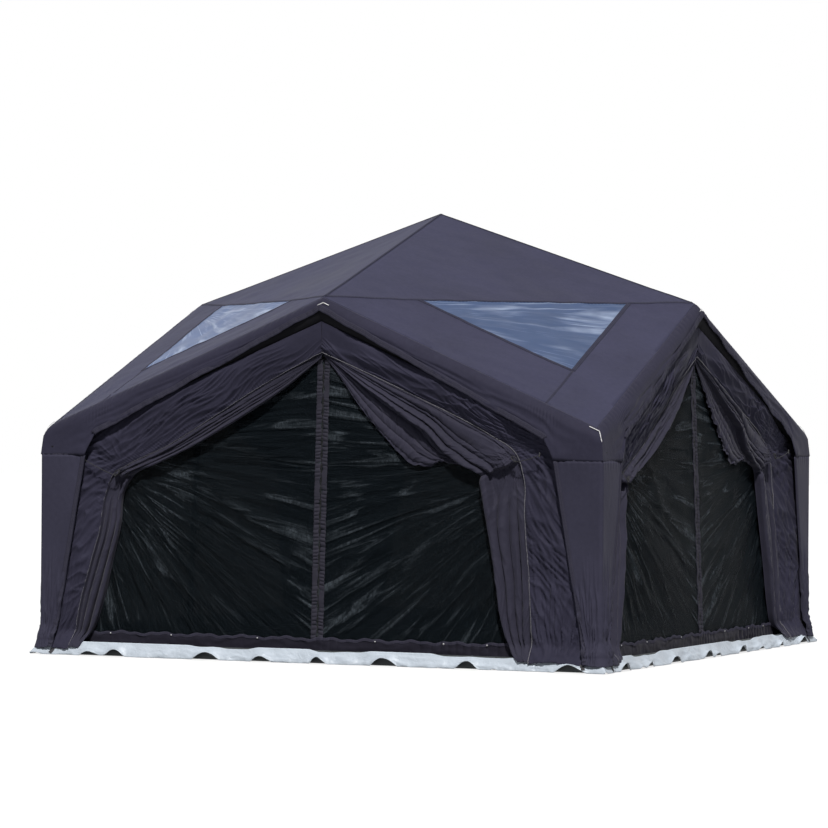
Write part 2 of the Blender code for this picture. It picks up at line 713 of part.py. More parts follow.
def make_sliders():
    inside = COIL_THICKNESS / 2 + SLIDER_CLEARANCE
    outside = slider_plate_front()
    lip_tip = SCREEN_THICKNESS / 2 + SLIDER_CLEARANCE
    neck = NECK_WIDTH / 2
    bar_out = tab_axis_out()

    def section(height, width):
        lip = width - SLIDER_LIP
        quarter_points = ((neck, inside), (lip, inside), (lip, lip_tip), (width, lip_tip), (width, outside))
        upper = list(quarter_points) + [(-x, n) for x, n in reversed(quarter_points)]
        lower = [(-x, -n) for x, n in quarter_points] + [(x, -n) for x, n in reversed(quarter_points)]
        return [(x, n - bar_out, height) for x, n in upper + lower]

    half_length = SLIDER_LENGTH / 2
    tail = SLIDER_HALF_WIDTH * SLIDER_TAIL_SHARE
    body = loft("slider", (
        section(-half_length, tail),
        section(0.0, SLIDER_HALF_WIDTH),
        section(half_length, SLIDER_HALF_WIDTH),
    ))
    # The bridge is an arch along the slider, over the tab's cross bar.
    room = TAB_WIRE / 2 + TAB_CLEARANCE
    foot = outside - SLIDER_PLATE / 2 - bar_out
    top_in = room
    top_out = room + BRIDGE_BAR
    reach = BRIDGE_LENGTH / 2
    inner_reach = reach - BRIDGE_BAR
    arch = ((-reach, foot), (-inner_reach, foot), (-inner_reach, top_in - BRIDGE_BAR / 2),
            (-inner_reach + BRIDGE_BAR / 2, top_in), (inner_reach - BRIDGE_BAR / 2, top_in),
            (inner_reach, top_in - BRIDGE_BAR / 2), (inner_reach, foot), (reach, foot),
            (reach, top_in), (inner_reach, top_out), (-inner_reach, top_out), (-reach, top_in))
    half_bridge = BRIDGE_WIDTH / 2
    bridge = loft("bridge", [[(x, n, height) for height, n in arch] for x in (-half_bridge, half_bridge)])
    slider = combined(body, bridge, "UNION")

    # The tab hangs from its cross bar: two arms beside the bridge, then a tongue.
    wire = TAB_WIRE / 2
    arm_in = half_bridge + TAB_CLEARANCE
    arm_out = TAB_WIDTH / 2
    eye_end = -TAB_EYE_LENGTH
    tip = -TAB_LENGTH
    tip_cut = TAB_WIDTH / 4
    outline = ((-arm_out, wire), (arm_out, wire), (arm_out, tip + tip_cut), (arm_out - tip_cut, tip),
               (-arm_out + tip_cut, tip), (-arm_out, tip + tip_cut))
    tongue = loft("tab", [[(x, n, height) for x, height in outline] for n in (-wire, wire)])
    eye = block("eye", (-arm_in, -TAB_WIRE, eye_end), (arm_in, TAB_WIRE, -wire))
    tab = combined(tongue, eye, "DIFFERENCE")

    for quarter in range(4):
        frame = screen_frame(SLIDER_REST_HEIGHT)
        out = Matrix.Translation((0.0, bar_out, 0.0))
        turn = Matrix.Rotation(quarter * math.pi / 2, 4, "Z")
        hinge = bpy.data.objects.new("tab_hinge_" + SIDE_NAMES[quarter], None)
        bpy.context.collection.objects.link(hinge)
        hinge.matrix_world = turn @ frame @ out
        place("zip_slider_" + SIDE_NAMES[quarter], slider, ZIP_METAL, parent=hinge)
        place("pull_tab_" + SIDE_NAMES[quarter], tab, ZIP_METAL, parent=hinge)


def smooth_line(shares, count_first, count_second, tie_share):
    spots = np.linspace(0.0, 1.0, len(shares))
    first = np.linspace(0.0, tie_share, count_first + 1)
    second = np.linspace(tie_share, 1.0, count_second + 1)[1:]
    where = np.concatenate((first, second))
    values = np.array(shares)
    slopes = np.gradient(values, spots)
    place_in = np.clip(np.searchsorted(spots, where, side="right") - 1, 0, len(shares) - 2)
    step = spots[1] - spots[0]
    t = (where - spots[place_in]) / step
    start, end = values[place_in], values[place_in + 1]
    rise_start, rise_end = slopes[place_in] * step, slopes[place_in + 1] * step
    return ((2 * t**3 - 3 * t**2 + 1) * start + (t**3 - 2 * t**2 + t) * rise_start
            + (3 * t**2 - 2 * t**3) * end + (t**3 - t**2) * rise_end)


# Curtain on the right of a doorway, seen from outside: it is sewn round the rafter and the
# leg, gathers at the door's peak, is tied back at the eave and hangs down the leg.
def curtain_mesh(name, out_shares, up_shares, folds):
    down = unit((rafter_way[2], 0.0, -rafter_way[0]))
    rise = DOOR_PEAK_HEIGHT - CURTAIN_HEM_HEIGHT
    free_out = smooth_line(out_shares, RAFTER_ROWS, LEG_ROWS, TIE_ROW_SHARE) * HALF_SIDE
    free_up = CURTAIN_HEM_HEIGHT + smooth_line(up_shares, RAFTER_ROWS, LEG_ROWS, TIE_ROW_SHARE) * rise
    free_out = np.maximum(free_out, 2 * GAP)
    rows = RAFTER_ROWS + LEG_ROWS + 1
    arc_step = (CURTAIN_LEAVE_ANGLE - CURTAIN_START_ANGLE) / (CURTAIN_ARC_COLUMNS - 1)
    hug = (max(ARCH_RADIUS, LEG_RADIUS) + SEW_GAP) / math.cos(math.radians(arc_step / 2)) + CLOTH / 2

    def sewn(angle):
        aside = hug * math.sin(angle)
        out = hug * math.cos(angle)
        rafter = arch_peak + down * aside
        start = rafter + rafter_way * ((2 * GAP - rafter[0]) / rafter_way[0])
        edge = leg_axis - aside
        turn = rafter + rafter_way * ((edge - rafter[0]) / rafter_way[0])
        turn[1] = -leg_axis
        foot = np.array((edge, -leg_axis, CURTAIN_HEM_HEIGHT))
        first = [start + (turn - start) * i / RAFTER_ROWS for i in range(RAFTER_ROWS + 1)]
        second = [turn + (foot - turn) * (i + 1) / LEG_ROWS for i in range(LEG_ROWS)]
        column = np.array(first + second)
        column[:, 1] -= out
        return column

    angles = [math.radians(CURTAIN_START_ANGLE + arc_step * i) for i in range(CURTAIN_ARC_COLUMNS)]
    columns = [sewn(angle) for angle in angles]
    leave = columns[-1]
    screen_face = (screen_foot[1] + screen_way[1] / screen_way[2] * free_up) - SCREEN_THICKNESS / 2
    free = np.stack((free_out, screen_face - CURTAIN_FREE_DEPTH, free_up), axis=1)
    along = np.arange(rows) / (rows - 1)
    tie = np.exp(-((np.arange(rows) - RAFTER_ROWS) / TIE_SPREAD_ROWS) ** 2)
    grown = FOLD_START_SHARE + (1.0 - FOLD_START_SHARE) * np.minimum(along / FOLD_RISE_SHARE, 1.0)
    for j in range(1, CURTAIN_COLUMNS + 1):
        share = j / CURTAIN_COLUMNS
        column = leave + (free - leave) * share
        swell = max(math.sin(math.pi * share), FOLD_EDGE_SHARE * share)
        wave = math.sin(2 * math.pi * folds * share) * swell
        bulge = FOLD_DEPTH * wave * grown + TIE_SWELL * tie * math.sin(math.pi * share)
        column[:, 1] -= bulge
        columns.append(column)
    grid = np.array(columns).transpose(1, 0, 2)
    keep_in = screen_foot[1] + screen_way[1] / screen_way[2] * grid[:, :, 2] - SCREEN_THICKNESS / 2
    lowest = keep_in - CLOTH - SEW_GAP
    lean = np.maximum(grid[:, :, 2] - SEAM_HEIGHT, 0.0) * GABLE_LEAN_SHARE
    highest = -HALF_SIDE + lean + SKIN + CLOTH + SEW_GAP
    grid[:, :, 1] = np.minimum(np.maximum(grid[:, :, 1], highest), lowest)
    along_way = np.gradient(grid, axis=0)
    across_way = np.gradient(grid, axis=1)
    square = np.cross(along_way, across_way)
    square /= np.linalg.norm(square, axis=2, keepdims=True)
    square *= np.where(square[:, :, 1:2] > 0, -1.0, 1.0)
    square[0, :, 0] = 0.0
    square /= np.linalg.norm(square, axis=2, keepdims=True)
    return closed_sheet(name, grid + square * CLOTH / 2, grid - square * CLOTH / 2)


def make_curtains():
    slack = curtain_mesh("curtain_slack", SLACK_OUT_SHARES, SLACK_UP_SHARES, SLACK_FOLDS)
    tight = curtain_mesh("curtain_tight", TIGHT_OUT_SHARES, TIGHT_UP_SHARES, TIGHT_FOLDS)
    bm = bmesh.new()
    bm.from_mesh(tight)
    bmesh.ops.scale(bm, vec=(-1.0, 1.0, 1.0), verts=bm.verts)
    left = to_mesh(bm, "curtain_tight")
    for quarter in range(4):
        place("curtain_" + SIDE_NAMES[quarter] + "_right", slack, FABRIC_CURTAIN, quarter, smooth=50.0)
        place("curtain_" + SIDE_NAMES[quarter] + "_left", left, FABRIC_CURTAIN, quarter, smooth=50.0)


def turned_solid(name, profile, sides=VALVE_SIDES):
    loops = []
    for radius, height in profile:
        angles = [2 * math.pi * i / sides for i in range(sides)]
        loops.append([(radius * math.cos(a), radius * math.sin(a), height) for a in angles])
    return loft(name, loops)


# Inflation valve: a flanged neck with a blind bore, two lugs, and a cap on their pin
def make_valve():
    neck_top = VALVE_FLANGE + VALVE_NECK_LENGTH
    body = turned_solid("valve_body", (
        (VALVE_FLANGE_RADIUS, 0.0),
        (VALVE_FLANGE_RADIUS, VALVE_FLANGE),
        (VALVE_NECK_RADIUS, VALVE_FLANGE),
        (VALVE_NECK_RADIUS, neck_top),
        (VALVE_BORE_RADIUS, neck_top),
        (VALVE_BORE_RADIUS, neck_top - VALVE_BORE_DEPTH),
    ))
    cap_inner = VALVE_NECK_RADIUS + CAP_CLEARANCE
    cap_outer = cap_inner + CAP_WALL
    cap_low = neck_top + CAP_CLEARANCE - CAP_SKIRT
    cap_under = neck_top + CAP_CLEARANCE
    pin_out = cap_outer + KNUCKLE_RADIUS + CAP_CLEARANCE
    pin_up = cap_low
    half_knuckle = KNUCKLE_WIDTH / 2
    lug_in = half_knuckle + CAP_CLEARANCE
    lug_out = lug_in + LUG_WIDTH

    def round_bar(name, radius, start, end):
        angles = [2 * math.pi * i / VALVE_SIDES for i in range(VALVE_SIDES)]
        ring = [(pin_out + radius * math.cos(a), pin_up + radius * math.sin(a)) for a in angles]
        return loft(name, [[(out, y, high) for out, high in ring] for y in (start, end)])

    for sign in (-1.0, 1.0):
        ends = sorted((sign * lug_in, sign * lug_out))
        lug = block("lug", (pin_out - KNUCKLE_RADIUS, ends[0], VALVE_FLANGE / 2),
                    (pin_out + KNUCKLE_RADIUS, ends[1], pin_up))
        lug = combined(lug, round_bar("lug_eye", KNUCKLE_RADIUS, *ends), "UNION")
        body = combined(body, lug, "UNION")
    pin_end = lug_out - LUG_WIDTH / 2
    body = combined(body, round_bar("pin", PIN_RADIUS, -pin_end, pin_end), "UNION")

    cap = cap_mesh(cap_inner, cap_outer, cap_low, cap_under)
    arm = block("arm", (cap_outer - CAP_WALL / 2, -half_knuckle, pin_up - KNUCKLE_RADIUS),
                (pin_out, half_knuckle, pin_up + KNUCKLE_RADIUS))
    arm = combined(arm, round_bar("knuckle", KNUCKLE_RADIUS, -half_knuckle, half_knuckle), "UNION")
    cap = combined(cap, arm, "UNION")
    cap = combined(cap, round_bar("pin_hole", PIN_RADIUS + CAP_CLEARANCE, -lug_out, lug_out), "DIFFERENCE")

    inward = unit((1.0, -1.0, 0.0))
    seat = np.array((-leg_axis, leg_axis, VALVE_HEIGHT)) + inward * (LEG_RADIUS + GAP)
    frame = Matrix.Identity(4)
    for i, axis in enumerate((UP, np.cross(inward, UP), inward)):
        for j in range(3):
            frame[j][i] = axis[j]
    frame.translation = Vector(seat)
    valve = bpy.data.objects.new("valve_seat", None)
    bpy.context.collection.objects.link(valve)
    valve.matrix_world = frame
    hinge = bpy.data.objects.new("cap_hinge", None)
    bpy.context.collection.objects.link(hinge)
    hinge.matrix_world = frame @ Matrix.Translation((pin_out, 0.0, pin_up))
    cap.transform(Matrix.Translation((-pin_out, 0.0, -pin_up)))
    place("inflation_valve", body, VALVE_PLASTIC, parent=valve, smooth=35.0)
    place("valve_cap", cap, VALVE_PLASTIC, parent=hinge, smooth=35.0)


def cap_mesh(inner, outer, low, under):
    return turned_solid("valve_cap", (
        (inner, under), (inner, low), (outer, low), (outer, under + CAP_WALL / 2),
        (outer - CAP_WALL / 2, under + CAP_WALL)))


for old in list(bpy.data.objects):
    bpy.data.objects.remove(old)

make_air_frame()
make_top_panels()
make_hip_panels()
make_fairings()
make_leg_covers()
make_groundsheet()
make_screens()
make_zips()
make_sliders()
make_curtains()
make_valve()
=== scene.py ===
import math

import bmesh
import bpy
import numpy as np
from mathutils import Matrix, Vector


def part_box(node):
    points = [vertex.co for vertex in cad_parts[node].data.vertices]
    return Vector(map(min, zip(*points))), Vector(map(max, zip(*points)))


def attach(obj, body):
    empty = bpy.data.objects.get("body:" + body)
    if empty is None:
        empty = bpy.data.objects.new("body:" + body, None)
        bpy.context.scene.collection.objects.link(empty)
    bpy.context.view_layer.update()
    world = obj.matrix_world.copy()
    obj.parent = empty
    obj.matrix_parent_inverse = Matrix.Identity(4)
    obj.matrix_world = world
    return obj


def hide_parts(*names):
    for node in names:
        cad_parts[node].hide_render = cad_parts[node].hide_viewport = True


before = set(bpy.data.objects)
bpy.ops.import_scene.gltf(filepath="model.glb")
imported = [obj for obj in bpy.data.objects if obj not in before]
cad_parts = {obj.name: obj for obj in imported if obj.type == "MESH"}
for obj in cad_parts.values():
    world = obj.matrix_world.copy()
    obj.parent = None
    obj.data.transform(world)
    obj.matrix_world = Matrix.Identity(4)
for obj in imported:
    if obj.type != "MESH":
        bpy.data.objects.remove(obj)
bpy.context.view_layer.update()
print("frame loaded:", len(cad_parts), "nodes")

# Places that the tent's solids are built on, in metres
tent = {
    "halfSide": 2.0,
    "eave": 1.485,
    "seam": 1.32,
    "ridgeEnd": (0.0, -1.842, 2.36),
    "apex": 2.98,
    "gableLean": 0.09,
    "skin": 0.003,
    "archRadius": 0.08,
    "legRadius": 0.078,
    "legAxis": 1.9187,
    "screenFoot": 1.925,
    "bandNearFront": 0.25,
    "bandNearSide": 0.175,
}
sideNames = ("front", "right", "back", "left")
cornerNames = ("front_right", "back_right", "back_left", "front_left")

# The camera stands where the photograph was taken from.
camera = {
    "distance": 27.514,
    "aim": (0.0, 0.0, 1.485),
    "azimuth": 0.418,
    "elevation": 0.0055,
    "yaw": -0.0064,
    "pitch": 0.0043,
    "roll": 0.0071,
    "focalPixels": 4000.0,
    "framePixels": 828.0,
    "sensor": 36.0,
}


def makeCamera(c):
    az, el = c["azimuth"], c["elevation"]
    back = Vector((math.sin(az) * math.cos(el), -math.cos(az) * math.cos(el), math.sin(el)))
    yaw = math.atan2(-back.x, -back.y) + c["yaw"]
    pitch = c["pitch"] - el
    level = math.cos(pitch)
    forward = Vector((math.sin(yaw) * level, math.cos(yaw) * level, math.sin(pitch)))
    side = Vector((math.cos(yaw), -math.sin(yaw), 0.0))
    above = side.cross(forward)
    sideRolled = side * math.cos(c["roll"]) + above * math.sin(c["roll"])
    aboveRolled = above * math.cos(c["roll"]) - side * math.sin(c["roll"])
    data = bpy.data.cameras.new("photoCamera")
    data.sensor_width = c["sensor"]
    data.lens = c["focalPixels"] / c["framePixels"] * c["sensor"]
    data.clip_end = 200.0
    made = bpy.data.objects.new("photoCamera", data)
    bpy.context.scene.collection.objects.link(made)
    turn = Matrix((sideRolled, aboveRolled, -forward)).transposed().to_4x4()
    turn.translation = Vector(c["aim"]) + back * c["distance"]
    made.matrix_world = turn
    bpy.context.scene.camera = made


makeCamera(camera)


# Planes and lines of the front side, worked out as the solids' source does
def unit(v):
    v = np.asarray(v, float)
    return v / np.linalg.norm(v)


def planeAt(point, normal):
    normal = unit(normal)
    return normal, float(normal @ np.asarray(point, float))


def meet(a, b, c):
    return np.linalg.solve(np.array((a[0], b[0], c[0])), np.array((a[1], b[1], c[1])))


def lineMeets(point, way, plane):
    return point + way * ((plane[1] - plane[0] @ point) / (plane[0] @ way))


def turned(v, quarter):
    x, y, z = v
    for _ in range(quarter % 4):
        x, y = -y, x
    return np.array((x, y, z))


up = np.array((0.0, 0.0, 1.0))
across = np.array((1.0, 0.0, 0.0))
half = tent["halfSide"]
ridgeEnd = np.array(tent["ridgeEnd"])
nextEnd = turned(ridgeEnd, 1)
apex = np.array((0.0, 0.0, tent["apex"]))
cornerPlane = planeAt((0, 0, 0), (1, 1, 0))
middlePlane = planeAt((0, 0, 0), across)
gablePlane = planeAt((0, -half, tent["seam"]), (0, -1, tent["gableLean"]))
eaveCorner = meet(gablePlane, (up, tent["eave"]), cornerPlane)
hipPlane = planeAt(ridgeEnd, np.cross(eaveCorner - ridgeEnd, nextEnd - ridgeEnd))
skinTurn = math.acos(float(hipPlane[0] @ gablePlane[0]))
skinRadius = (tent["archRadius"] + 0.0003) / math.cos(skinTurn / 10) + tent["skin"]
innerPlanes = [(plane[0], plane[1] - skinRadius) for plane in (hipPlane, gablePlane)]
archPeak = meet(*innerPlanes, middlePlane)
archCorner = meet(*innerPlanes, cornerPlane)
rafterWay = unit(archCorner - archPeak)
screenFoot = np.array((0.0, -tent["screenFoot"], 0.0))
screenWay = unit(archPeak - screenFoot)
screenOut = unit(np.cross(across, screenWay))


def screenDepth(height):
    return screenFoot[1] + screenWay[1] / screenWay[2] * np.asarray(height)


# Smooth noise made of waves with seeded directions; the same on every run
class Ripples:
    def __init__(self, seed, count=14, low=0.6, high=1.6):
        draw = np.random.default_rng(seed)
        ways = draw.normal(size=(count, 3))
        ways /= np.linalg.norm(ways, axis=1, keepdims=True)
        self.ways = ways * draw.uniform(low, high, size=(count, 1)) * 2 * math.pi
        self.phases = draw.uniform(0, 2 * math.pi, size=count)
        self.scale = math.sqrt(2.0 / count)

    def at(self, points, scale=1.0):
        points = np.asarray(points, float) * scale
        return np.sin(points @ self.ways.T + self.phases).sum(axis=-1) * self.scale


def ease(x, low, high):
    t = np.clip((np.asarray(x, float) - low) / (high - low), 0, 1)
    return t * t * (3 - 2 * t)


# A sine wave of a length in metres
def sway(x, length, phase=0.0):
    return np.sin(x * 2 * math.pi / length + phase)


# Sharp creases in taut cloth: u runs along them, v across
def ridges(u, v, seed, blunt=0.14):
    u, v = np.broadcast_arrays(u, v)
    level = Ripples(seed, 16, 0.5, 1.5).at(np.stack((u, v, 0 * u), axis=-1))
    return 0.8 - 1.5 * np.sqrt(np.tanh(1.1 * level) ** 2 + blunt ** 2)


# Creases that fan out from a tie or a corner
def fanRidges(x, z, centre, seed, spread, blunt=0.14):
    reach = np.hypot(x - centre[0], z - centre[1]) + 0.03
    angle = np.arctan2(z - centre[1], x - centre[0])
    main = ridges(np.log(reach) * 0.9, angle * spread, seed, blunt)
    fine = ridges(np.log(reach) * 1.5 + 7, angle * spread * 2.3, seed + 1, blunt)
    return main + 0.5 * fine * ease(reach, 0.1, 0.45)


# Rolls of cloth side by side with sharp valleys: centre, half width and height at both ends
def bundle(over, share, rolls):
    level = np.zeros(np.broadcast(over, share).shape)
    for first, last in rolls:
        centre, width, height = [a + (b - a) * share for a, b in zip(first, last)]
        level = np.maximum(level, height * np.sqrt(np.clip(1 - ((over - centre) / width) ** 2, 0, 1)))
    return level


# Hung folds: round crests, tight valleys, each crest leaning over the next valley
def foldShape(p, lean=0.0):
    p = p - lean * (1 - np.cos(p))
    return 1.9 * np.abs(np.sin(p / 2)) ** 0.8 - 1.05


# How far each point of a line lies from its start
def lengthsOf(line):
    return np.concatenate(((0.0,), np.cumsum(np.linalg.norm(np.diff(line, axis=0), axis=1))))


# Smooth curve through a few points, read off at shares of its length
def curveThrough(points, where):
    points = np.asarray(points, float)
    spots = lengthsOf(points)
    spots = spots / spots[-1]
    slopes = np.gradient(points, spots, axis=0)
    i = np.clip(np.searchsorted(spots, where, side="right") - 1, 0, len(points) - 2)
    step = (spots[i + 1] - spots[i])[:, None]
    t = ((where - spots[i])[:, None]) / step
    return ((2 * t**3 - 3 * t**2 + 1) * points[i] + (t**3 - 2 * t**2 + t) * slopes[i] * step
            + (3 * t**2 - 2 * t**3) * points[i + 1] + (t**3 - t**2) * slopes[i + 1] * step)


# Objects and meshes
def newObject(name, mesh, finish, quarter=0):
    made = bpy.data.objects.new(name, mesh)
    bpy.context.scene.collection.objects.link(made)
    if not mesh.materials:
        mesh.materials.append(finish)
    made.rotation_euler = (0.0, 0.0, quarter * math.pi / 2)
    return made


# The cloth's own flat coordinates, for stitches and streaks
def cutTo(mesh, flat):
    layer = mesh.uv_layers.new(name="cut")
    loops = np.zeros(len(mesh.loops), int)
    mesh.loops.foreach_get("vertex_index", loops)
    layer.data.foreach_set("uv", flat[loops].astype(np.float32).ravel())


def gridMesh(name, points, uv=None, wrap=False, flip=False):
    rows, cols = points.shape[:2]
    index = np.arange(rows * cols).reshape(rows, cols)
    if wrap:
        index = np.concatenate((index, index[:1]))
    a, b, c, d = index[:-1, :-1], index[:-1, 1:], index[1:, 1:], index[1:, :-1]
    order = (a, d, c, b) if flip else (a, b, c, d)
    faces = np.stack([x.ravel() for x in order], axis=1)
    mesh = bpy.data.meshes.new(name)
    mesh.from_pydata(points.reshape(-1, 3).tolist(), [], faces.tolist())
    if uv is not None:
        cutTo(mesh, uv.reshape(-1, 2))
    mesh.shade_smooth()
    return mesh


# What was worked on in bm becomes a mesh of its own
def meshOf(bm, name, smooth=True):
    mesh = bpy.data.meshes.new(name)
    bm.to_mesh(mesh)
    bm.free()
    if smooth:
        mesh.shade_smooth()
    return mesh


# Adds a mesh to bm and drops it
def pour(bm, mesh):
    bm.from_mesh(mesh)
    bpy.data.meshes.remove(mesh)


def unitRows(vectors):
    return vectors / np.linalg.norm(vectors, axis=1, keepdims=True)


def gridNormals(points):
    square = np.cross(np.gradient(points, axis=0), np.gradient(points, axis=1))
    return square / np.maximum(np.linalg.norm(square, axis=2, keepdims=True), 1e-9)


# Puts a piece on the tent, turned to its side or corner; cloth is thickened, offset 1 outward and -1 inward
def dress(name, mesh, finish, quarter=0, nodes=(), thickness=0.0, offset=0.0):
    made = newObject(name, mesh, finish, quarter)
    if thickness:
        step = made.modifiers.new("cloth", "SOLIDIFY")
        step.thickness = thickness
        step.offset = offset
        step.use_rim = True
    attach(made, "tent")
    if nodes:
        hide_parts(*nodes)
    return made


# Gives solids of the frame their finish
def coat(finish, *nodes):
    for node in nodes:
        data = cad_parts[node].data
        data.materials.clear()
        data.materials.append(finish)


def tubeMesh(name, line, radius, sides=10):
    line = np.asarray(line, float)
    ways = unitRows(np.gradient(line, axis=0))
    sideways = [unit(np.cross(ways[0], up if abs(ways[0] @ up) < 0.8 else across))]
    for way in ways[1:]:
        side = sideways[-1]
        sideways.append(unit(side - way * (side @ way)))
    sideways = np.array(sideways)
    above = np.cross(ways, sideways)
    angles = np.linspace(0, 2 * math.pi, sides, endpoint=False)[None, :, None]
    size = np.broadcast_to(radius, len(line))[:, None, None]
    rings = line[:, None] + size * (np.cos(angles) * sideways[:, None] + np.sin(angles) * above[:, None])
    count = len(line)
    faces = []
    for i in range(count - 1):
        for j in range(sides):
            k = (j + 1) % sides
            faces.append((i * sides + j, i * sides + k, (i + 1) * sides + k, (i + 1) * sides + j))
    faces.append(tuple(range(sides - 1, -1, -1)))
    faces.append(tuple(range((count - 1) * sides, count * sides)))
    mesh = bpy.data.meshes.new(name)
    mesh.from_pydata(rings.reshape(-1, 3).tolist(), [], faces)
    mesh.shade_smooth()
    return mesh


# A flat strip that follows a line on a surface: seam, binding or tape
ribbonShape = (                # across and up, in widths and half thicknesses
    (-0.5, -0.6), (-0.47, 1.0), (-0.25, 1.15), (0.0, 1.0), (0.25, 1.15), (0.47, 1.0), (0.5, -0.6),
    (0.5, -1.0), (-0.5, -1.0),
)


def ribbonMesh(name, line, normals, width, lift, thickness=0.0012):
    line = np.asarray(line, float)
    normals = np.broadcast_to(normals, line.shape)
    aside = unitRows(np.cross(normals, unitRows(np.gradient(line, axis=0))))
    length = lengthsOf(line)
    columns, cuts = [], []
    for share, rise in ribbonShape:
        columns.append(line + aside * width * share + normals * (lift + rise * thickness / 2))
        cuts.append(np.stack((length, np.full(len(length), share * width)), axis=1))
    mesh = gridMesh(name, np.array(columns), np.array(cuts), wrap=True)
    bm = bmesh.new()
    bm.from_mesh(mesh)
    bmesh.ops.holes_fill(bm, edges=[e for e in bm.edges if e.is_boundary])
    bmesh.ops.recalc_face_normals(bm, faces=bm.faces)
    bm.to_mesh(mesh)
    bm.free()
    return mesh


# The nodes of a material or of the world: each method adds one and gives back its output
class Recipe:
    def __init__(self, owner, shader="Principled BSDF"):
        owner.use_nodes = True
        self.owner = owner
        self.nodes, self.links = owner.node_tree.nodes, owner.node_tree.links
        self.shader = self.nodes[shader]

    def feed(self, socket, value):
        if isinstance(value, bpy.types.NodeSocket):
            self.links.new(value, socket)
        elif socket.type == "RGBA":
            socket.default_value = (*value, 1.0)
        else:
            socket.default_value = value

    def add(self, kind, *sockets, **values):
        made = self.nodes.new(kind)
        for key, value in values.items():
            if key in made.inputs.keys():
                self.feed(made.inputs[key], value)
            else:
                setattr(made, key, value)
        for socket, value in zip(made.inputs, sockets):
            self.feed(socket, value)
        return made

    def put(self, **values):
        for key, value in values.items():
            self.feed(self.shader.inputs[socketNames[key]], value)

    def place(self):
        return self.add("ShaderNodeTexCoord").outputs["Object"]

    def cut(self):
        return self.add("ShaderNodeUVMap", uv_map="cut").outputs["UV"]

    def split(self, vector):
        return self.add("ShaderNodeSeparateXYZ", vector).outputs

    def noise(self, coords, scale, detail=3.0, rough=0.55, stretch=(1.0, 1.0, 1.0), distortion=0.0):
        mapping = self.add("ShaderNodeMapping", coords, Scale=stretch)
        return self.add("ShaderNodeTexNoise", mapping.outputs["Vector"], Scale=scale, Detail=detail,
                        Roughness=rough, Distortion=distortion).outputs["Fac"]

    def remap(self, value, *limits):
        made = self.add("ShaderNodeMapRange", Value=value)
        for key, limit in zip(("From Min", "From Max", "To Min", "To Max"), limits):
            made.inputs[key].default_value = limit
        return made.outputs["Result"]

    def maths(self, operation, *values):
        return self.add("ShaderNodeMath", *values, operation=operation).outputs[0]

    def times(self, a, b):
        return self.maths("MULTIPLY", a, b)

    def mix(self, share, first, second):
        made = self.add("ShaderNodeMix", data_type="RGBA")
        for socket, value in zip([s for s in made.inputs if s.type == "RGBA"], (first, second)):
            self.feed(socket, value)
        self.links.new(share, made.inputs["Factor"])
        return [s for s in made.outputs if s.type == "RGBA"][0]

    def bump(self, height, strength, distance, before=None):
        made = self.add("ShaderNodeBump", Height=height, Strength=strength, Distance=distance)
        if before is not None:
            self.links.new(before, made.inputs["Normal"])
        return made.outputs["Normal"]


socketNames = {
    "colour": "Base Color",
    "rough": "Roughness",
    "normal": "Normal",
    "gloss": "Specular IOR Level",
    "metal": "Metallic",
    "alpha": "Alpha",
    "sheen": "Sheen Weight",
    "sheenRough": "Sheen Roughness",
}


def tint(colour, share):
    return tuple(min(1.0, c * share) for c in colour)


# Coated polyester: fine cross weave, soft crinkles and slightly uneven sheen
def clothFinish(name, colour, crinkle=1.0, sheen=0.15, rough=(0.55, 0.7), variation=0.16, gloss=0.05):
    r = Recipe(bpy.data.materials.new(name))
    coords = r.place()
    patches = r.noise(coords, 1.6, 4.0, 0.6)
    specks = r.noise(coords, 34.0, 2.0, 0.5)
    share = r.remap(r.maths("ADD", patches, r.times(specks, 0.3)), 0.45, 0.85, 0.0, 1.0)
    waves = [r.add("ShaderNodeTexWave", coords, bands_direction=way, Scale=160.0, Distortion=0.4).outputs["Fac"]
             for way in "XYZ"]
    weave = r.times(r.times(waves[0], waves[1]), waves[2])
    small = r.noise(coords, 42.0, 2.0, 0.5, (1.0, 1.0, 0.55), 0.6)
    large = r.noise(coords, 9.0, 2.0, 0.5, (1.0, 1.0, 0.7), 0.9)
    normal = r.bump(small, 0.16 * crinkle, 0.004, r.bump(weave, 0.12, 0.0004))
    r.put(colour=r.mix(share, tint(colour, 1 - variation), tint(colour, 1 + variation)),
          rough=r.remap(patches, 0.3, 0.7, *rough), normal=r.bump(large, 0.2 * crinkle, 0.018, normal),
          sheen=sheen, sheenRough=0.45, gloss=gloss)
    return r.owner


# Taped seam with two rows of stitches, drawn along the strip's own cut
def seamFinish(name, colour, thread, pitch=0.012, rowAt=0.3):
    r = Recipe(bpy.data.materials.new(name))
    cut = r.split(r.cut())
    dash = r.remap(r.maths("PINGPONG", cut["X"], pitch), pitch * 0.3, pitch * 0.4, 0.0, 1.0)
    off = r.maths("SUBTRACT", r.maths("ABSOLUTE", cut["Y"]), rowAt * 0.02)
    row = r.remap(r.maths("ABSOLUTE", off), 0.0006, 0.0011, 1.0, 0.0)
    stitch = r.times(dash, row)
    coords = r.place()
    base = r.mix(r.noise(coords, 14.0, 3.0, 0.6), tint(colour, 0.8), tint(colour, 1.25))
    normal = r.bump(r.noise(coords, 55.0, 2.0), 0.25, 0.003)
    r.put(colour=r.mix(stitch, base, thread), normal=r.bump(stitch, 0.5, 0.0012, normal), rough=0.65, gloss=0.05)
    return r.owner


